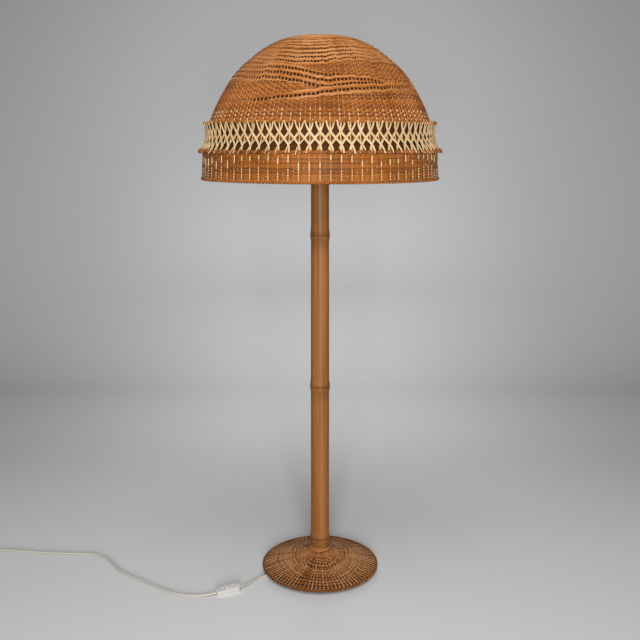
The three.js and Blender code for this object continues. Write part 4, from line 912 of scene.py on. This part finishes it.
# Radii and heights of the foot's cover, in millimetres, and the three rings round the culm's foot
FOOT_OUTLINE = [(153, 16.5), (145, 18.5), (120, 25), (80, 34), (50, 42), (34, 49.5), (27, 57.5)]
COLLAR_RINGS, COLLAR_TILT = [(26.6, 58.5), (26.4, 61.5), (26.2, 64.5)], 1.2
# The foot's stakes, every second one of which ends at a share of the way up
FOOT_STAKES, FOOT_THINNING, FOOT_SINK = 88, 0.62, 0.0012
FOOT_LIFT, FOOT_WEAVER, FOOT_ROW, FOOT_GAP = 0.0013, 0.0023, 0.0027, 0.0048
# The same for the foot's border, which has a twist for each stake
EDGE_IN, EDGE_UP, EDGE_WIND, EDGE_CANE = 0.0044, 0.0008, 0.0022, 0.0040


class LAMP_OT_foot(bpy.types.Operator):
    """Weaves the foot's cover and rolls its border"""
    bl_idname = "lamp.foot"
    bl_label = "Foot"

    def execute(self, context):
        settings = context.scene.lamp_weave
        # The darkest colour, near black, is the darkest canes' own and also the painted shade of the foot's
        # open rows.
        rattan = cane_material(
            "Foot rattan", (0.010, 0.002, 0.0005), (0.34, 0.105, 0.015), (0.78, 0.40, 0.16),
            Tone_share=0.8, Fibre_share=0.35, Patch_size=0.05, Patch_share=0.4)
        shell = Shell([(r * MM, z * MM - FOOT_SINK) for r, z in FOOT_OUTLINE])
        length = shell.total
        weaver, gap = ("weaver", FOOT_ROW), ("open", FOOT_GAP)
        rows = lens_rows([weaver, gap, weaver, gap, weaver, weaver, gap, weaver, weaver, gap], None)
        rows += lens_rows([weaver, weaver, gap] * 4, "outer") + lens_rows([weaver, weaver, gap] * 4, None)
        rows += lens_rows([weaver, weaver, gap] * 4, "inner")
        spare = length - sum(row[1] * (0.5 if row[2] else 1) for row in rows)
        rows += lens_rows([weaver] * int(spare / FOOT_ROW), None)
        strands = Strands()
        weave_rows(strands, shell, rows, FOOT_LENSES, length,
                   lambda up: FOOT_STAKES if up < length * FOOT_THINNING else FOOT_STAKES // 2,
                   FOOT_PATTERNS, FOOT_LIFT, FOOT_WEAVER)
        for j, angle in enumerate(full_turn(FOOT_STAKES)):
            up = np.linspace(0, length * (FOOT_THINNING if j % 2 else 1), 16)
            strands.add(*shell.place(angle, up, STAKE_OVER), 0.0032, 0.0022, rng.uniform(0.6, 1.3))
        turn = full_turn(60)
        for ring, (r, z) in enumerate(COLLAR_RINGS):
            line = round_axis(r, turn, z + COLLAR_TILT * np.sin(turn + ring * 1.9)) * MM
            strands.add(line, round_axis(1.0, turn, 0.0), 0.0032, 0.0024, rng.uniform(0.7, 1.0), closed=True)
        cover = strands.build("foot_weave", rattan)
        rope = Strands()
        low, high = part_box("base_border")
        twisted_rope(
            rope, high.x - EDGE_IN, (low.z + high.z) / 2 + EDGE_UP, EDGE_WIND, EDGE_CANE, FOOT_STAKES, 0.25)
        border = rope.build("foot_border", rattan)
        for piece in (cover, border):
            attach(piece, "stand")
        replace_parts(cover, "base_cover")
        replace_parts(border, "base_border")
        return {"FINISHED"}


# Culm and fittings

# How far up the culm its nodes are, its radius at each end, its bore, and how far it strays from round
CULM_NODE_SHARES = [0.0533, 0.4461, 0.8108]
CULM_FOOT_R, CULM_TOP_R, CULM_BORE_R = 0.0252, 0.0227, 0.017
CULM_STEPS, CULM_SIDES, OUT_OF_ROUND = 520, 72, 0.006
# Of a node: how far it swells and its groove cuts in, and how wide each is in millimetres
SWELL, SWELL_WIDTH, GROOVE, GROOVE_WIDTH = 0.0022, 11.0, 0.0012, 1.4
# How dark each stain at a node is, how far over the node it lies and how wide it is, in millimetres
NODE_STAINS = [(1.2, 0.0, 1.7), (0.6, 6.5, 1.2), (0.3, -20.0, 16.0)]


def bamboo_material(settings):
    """Long fibres, slow stains and dark rings at the nodes."""
    material, shader = new_material("Bamboo", Specular_IOR_Level=0.2)
    tree = material.node_tree
    place = node(tree, "ShaderNodeTexCoord").outputs["Object"]
    fibre = noise(tree, stretched(tree, place, 420.0, 420.0, 5.0), 1.0, 4.0)
    broad = noise(tree, stretched(tree, place, 110.0, 110.0, 2.5), 1.0, 3.0)
    share = about_half(tree, broad, 2.0, about_half(tree, fibre, 0.9, 0.5), clamp=True)
    colour = blend_colours(tree, share, colour4(settings.bamboo_middle), colour4(settings.bamboo_light))
    ring = node(tree, "ShaderNodeAttribute", attribute_name="ring").outputs["Fac"]
    ring = math_node(tree, "MULTIPLY", ring, math_node(tree, "MULTIPLY_ADD", fibre, 0.8, 0.5), clamp=True)
    colour = blend_colours(tree, ring, colour, colour4(settings.bamboo_dark))
    tree.links.new(colour, shader.inputs["Base Color"])
    tree.links.new(math_node(tree, "MULTIPLY_ADD", broad, 0.25, 0.28), shader.inputs["Roughness"])
    bump = node(tree, "ShaderNodeBump", {"Height": fibre, "Distance": 0.0002, "Strength": 0.5})
    tree.links.new(bump.outputs[0], shader.inputs["Normal"])
    return material


class LAMP_OT_culm(bpy.types.Operator):
    """Turns the bamboo culm with its nodes"""
    bl_idname = "lamp.culm"
    bl_label = "Culm"

    def execute(self, context):
        low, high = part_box("bamboo_pole")
        foot, top = low.z, high.z
        z, turn = np.linspace(foot, top, CULM_STEPS)[:, None], full_turn(CULM_SIDES)
        r = CULM_FOOT_R + (CULM_TOP_R - CULM_FOOT_R) * (z - foot) / (top - foot)
        dark = 0 * z
        for share in CULM_NODE_SHARES:
            away = (z - foot - share * (top - foot)) / MM
            r += SWELL * np.exp(-(away / SWELL_WIDTH) ** 2) - GROOVE * np.exp(-(away / GROOVE_WIDTH) ** 2)
            for strength, over, width in NODE_STAINS:
                dark += strength * np.exp(-((away - over) / width) ** 2)
        outside = round_axis(r * (1 + OUT_OF_ROUND * np.sin(2 * turn + 0.7) * np.sin(z * 9)), turn, z)
        bore = round_axis(CULM_BORE_R, turn, np.array([[top], [foot]]))
        culm = ring_skin("culm", np.concatenate([outside, bore]), bamboo_material(context.scene.lamp_culm))
        ring = culm.data.attributes.new("ring", "FLOAT", "POINT")
        values = np.repeat([*np.clip(dark[:, 0], 0, 1), 0, 0], len(turn))
        ring.data.foreach_set("value", values.astype(np.float32))
        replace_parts(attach(culm, "stand"), "bamboo_pole")
        return {"FINISHED"}


METAL = {"Metallic": 1.0}
STEEL = (0.50, 0.49, 0.47), (0.25, 0.23, 0.2), 0.38, METAL
BRASS = (0.72, 0.50, 0.20), (0.40, 0.25, 0.09), 0.3, METAL
# Each finish, its colour, its marks' colour, its roughness, what else it sets, and the CAD nodes that wear it
FITTINGS = [
    ("Steel", *STEEL, ["rod_bottom_washer", "rod_bottom_nut", "centre_rod", "rod_top_nut"]),
    ("Brass", *BRASS, ["holder_contact", "holder_screw_shell", "bulb_cap", "bulb_tip"]),
    ("Black holder", (0.02, 0.018, 0.016), (0.06, 0.055, 0.05), 0.45, {},
     ["holder_cap", "holder_body", "shade_ring_lower", "shade_ring_upper"]),
    ("Porcelain", (0.85, 0.83, 0.78), (0.7, 0.66, 0.6), 0.2, {"Coat_Weight": 0.5}, ["holder_insert"]),
    ("Opal glass", (0.93, 0.91, 0.86), (0.85, 0.82, 0.76), 0.35, {"Subsurface_Weight": 0.2}, ["bulb_glass"]),
    ("Cast weight", (0.012, 0.008, 0.006), (0.03, 0.018, 0.012), 0.85,
     {"grain": 0.0012, "bump": 0.0003, "Specular_IOR_Level": 0.2}, ["base_weight"]),
    ("Felt", (0.09, 0.085, 0.075), (0.14, 0.13, 0.12), 0.95, {"grain": 0.0006, "bump": 0.0004},
     ["base_felt"]),
    ("Turned timber", (0.5, 0.31, 0.14), (0.33, 0.18, 0.07), 0.5, {"mark_share": 0.5}, ["pole_top_plug"]),
    ("Frame wire", (0.30, 0.19, 0.10), (0.15, 0.09, 0.05), 0.5, {"Metallic": 0.3},
     [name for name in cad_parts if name.startswith("frame_")])]
MOULDED = {"grain": 0.0009}


def finish_nodes(finishes):
    """Puts finishes on CAD nodes that stay as they are."""
    for name, base, mark, roughness, values, nodes in finishes:
        material = marked_material(name, base, mark, roughness, **values)
        for one in nodes:
            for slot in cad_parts[one].material_slots:
                slot.material = material


class LAMP_OT_fittings(bpy.types.Operator):
    """Finishes the weight, the rod, the lamp holder, the bulb and the shade's wires"""
    bl_idname = "lamp.fittings"
    bl_label = "Fittings"

    def execute(self, context):
        finish_nodes(FITTINGS)
        return {"FINISHED"}


class LAMP_OT_switch(bpy.types.Operator):
    """Finishes the inline switch, the plug and the small pieces of the cord"""
    bl_idname = "lamp.switch"
    bl_label = "Switch and plug"

    def execute(self, context):
        plastic = context.scene.lamp_cord.plastic
        finish_nodes([
            ("White plastic", plastic, (0.66, 0.62, 0.53), 0.32, MOULDED,
             ["switch_base", "switch_cover", "plug_body", "cord_tie", "cord_gland", "inner_lead"]),
            ("Rocker plastic", plastic, (0.70, 0.67, 0.6), 0.28, MOULDED, ["switch_rocker"]),
            ("Plug pins", *BRASS, ["plug_pin_left", "plug_pin_right"]),
            ("Screws", *STEEL, ["switch_screw_near", "switch_screw_far"])])
        return {"FINISHED"}


# Stage

MIDDLE = (0, 0, 0.8)
# Each light's place, what it points at, its size and its power
LIGHTS = {
    "Key": ((0.03, -1.9, 1.95), MIDDLE, 0.7, 18), "Fill": ((0.05, -4.2, 1.0), MIDDLE, 1.2, 106),
    "Top": ((0, -1.2, 4.3), MIDDLE, 1.6, 18), "Back": ((0, 2.2, 1.3), MIDDLE, 1.0, 8),
    "Glow": ((0, 0.9, 1.6), (0, 2.6, 0.9), 1.0, 7.7)}
WORLD_LIGHT, WORLD_SEEN = 0.04, 0.8
FLOOR_WIDE, FLOOR_FRONT, WALL, WALL_TOP, BEND = 6.0, -4.0, 2.6, 5.0, 0.9
# How the painted glow behind the lamp is placed and stretched, and where the backdrop's painted darker top
# and the floor's painted paler front begin and are complete
PAINTED_GLOW_PLACE, PAINTED_GLOW_SCALE, PAINTED_SHADE_TOP_FADE, PAINTED_LIGHT_FRONT_FADE = (0.0, 0.0, -0.52), (0.72, 0.0, 0.95), (0.9, 2.1), (0.95, 0.05)


def seen_directly(tree):
    """A mask of the rays that come from the camera, off metal or through glass."""
    ray = node(tree, "ShaderNodeLightPath").outputs
    return math_node(tree, "MAXIMUM", ray["Is Camera Ray"], math_node(
        tree, "MAXIMUM", ray["Is Glossy Ray"], ray["Is Transmission Ray"]))


def ramp(tree, value, start, end, steps="SMOOTHSTEP"):
    return node(tree, "ShaderNodeMapRange", {"Value": value, "From Min": start, "From Max": end},
                interpolation_type=steps).outputs[0]


def stage_material(settings):
    """Pale floor and backdrop, with a painted glow behind the lamp, a painted darker top and a painted paler
    floor in front, which throw little light back and can be seen through from behind."""
    material, shader = new_material("Stage", Roughness=0.9, Specular_IOR_Level=0.1)
    tree = material.node_tree
    geometry = node(tree, "ShaderNodeNewGeometry").outputs
    from_painted_glow = node(tree, "ShaderNodeMapping", {
        "Vector": geometry["Position"], "Location": PAINTED_GLOW_PLACE, "Scale": PAINTED_GLOW_SCALE}).outputs[0]
    away = node(tree, "ShaderNodeVectorMath", {0: from_painted_glow}, operation="LENGTH").outputs["Value"]
    parts = node(tree, "ShaderNodeSeparateXYZ", {0: geometry["Position"]}).outputs
    # A painted glow behind the lamp, a painted darker top and a painted paler floor in front.
    colour = blend_colours(tree, ramp(tree, away, 1.0, 0.0), colour4(settings.wall), colour4(settings.painted_glow))
    colour = blend_colours(tree, ramp(tree, parts["Z"], *PAINTED_SHADE_TOP_FADE, "LINEAR"), colour, colour4(settings.top))
    colour = blend_colours(tree, ramp(tree, parts["Y"], *PAINTED_LIGHT_FRONT_FADE), colour, colour4(settings.floor))
    colour = blend_colours(tree, seen_directly(tree), colour4(settings.bounce), colour)
    tree.links.new(colour, shader.inputs["Base Color"])
    clear = node(tree, "ShaderNodeBsdfTransparent").outputs[0]
    mixed = node(tree, "ShaderNodeMixShader", {0: geometry["Backfacing"], 1: shader.outputs[0], 2: clear})
    tree.links.new(mixed.outputs[0], tree.nodes["Material Output"].inputs["Surface"])
    return material


def pale_world(settings):
    """A world that gives little light and looks like the backdrop."""
    world = bpy.data.worlds.new("World")
    world.use_nodes = True
    tree = world.node_tree
    light = tree.nodes["Background"]
    light.inputs["Color"].default_value = (1, 1, 1, 1)
    light.inputs["Strength"].default_value = WORLD_LIGHT
    seen = node(tree, "ShaderNodeBackground", {"Color": colour4(settings.wall), "Strength": WORLD_SEEN})
    mixed = node(tree, "ShaderNodeMixShader", {
        0: seen_directly(tree), 1: light.outputs[0], 2: seen.outputs[0]})
    tree.links.new(mixed.outputs[0], tree.nodes["World Output"].inputs["Surface"])
    return world


class LAMP_OT_stage(bpy.types.Operator):
    """Lays the floor, hangs the backdrop and sets the lights"""
    bl_idname = "lamp.stage"
    bl_label = "Stage"

    def execute(self, context):
        scene = context.scene
        profile = [(FLOOR_FRONT, 0.0), (WALL - BEND, 0.0)]
        profile += [(WALL - BEND + BEND * math.sin(a), BEND - BEND * math.cos(a))
                    for a in np.linspace(0, math.pi / 2, 17)[1:]]
        profile.append((WALL, WALL_TOP))
        sweep = skin("floor_and_backdrop", [(x, y, z) for y, z in profile for x in (-FLOOR_WIDE, FLOOR_WIDE)],
                     [(2 * i, 2 * i + 1, 2 * i + 3, 2 * i + 2) for i in range(len(profile) - 1)],
                     stage_material(scene.lamp_stage))
        for name, (place, aim, size, power) in LIGHTS.items():
            light = bpy.data.lights.new(name, "AREA")
            light.size, light.energy = size, power
            lamp = add_object(name, light)
            lamp.location = place
            lamp.rotation_euler = (Vector(aim) - Vector(place)).to_track_quat("-Z", "Y").to_euler()
            lamp.visible_camera = False
        scene.world = pale_world(scene.lamp_stage)
        scene.view_settings.view_transform = "Standard"
        return {"FINISHED"}


class LAMP_PT_sidebar(bpy.types.Panel):
    """Lists the lamp's pieces and their sizes and colours"""
    bl_idname = "LAMP_PT_sidebar"
    bl_label = "Rattan floor lamp"
    bl_space_type = "VIEW_3D"
    bl_region_type = "UI"
    bl_category = "Lamp"

    def draw(self, context):
        for settings in SETTINGS:
            holder = getattr(context.scene, settings)
            box = self.layout.box()
            for key in type(holder).__annotations__:
                box.prop(holder, key)
        for operator in OPERATORS:
            self.layout.operator(operator.bl_idname)


SETTINGS = {
    "lamp_view": LampViewSettings, "lamp_weave": LampWeaveSettings, "lamp_trellis": LampTrellisSettings,
    "lamp_culm": LampCulmSettings, "lamp_cord": LampCordSettings, "lamp_stage": LampStageSettings}
OPERATORS = [
    LAMP_OT_camera, LAMP_OT_cords, LAMP_OT_dome, LAMP_OT_trellis, LAMP_OT_lining, LAMP_OT_skirt, LAMP_OT_foot,
    LAMP_OT_culm, LAMP_OT_fittings, LAMP_OT_switch, LAMP_OT_stage]


def register():
    for made in (*SETTINGS.values(), *OPERATORS, LAMP_PT_sidebar):
        bpy.utils.register_class(made)
    for name, settings in SETTINGS.items():
        setattr(bpy.types.Scene, name, bpy.props.PointerProperty(type=settings))


def unregister():
    for name in SETTINGS:
        delattr(bpy.types.Scene, name)
    for made in (LAMP_PT_sidebar, *OPERATORS[::-1], *list(SETTINGS.values())[::-1]):
        bpy.utils.unregister_class(made)


def main():
    register()
    for operator in OPERATORS:
        group, name = operator.bl_idname.split(".")
        getattr(getattr(bpy.ops, group), name)()


if __name__ == "__main__":
    main()
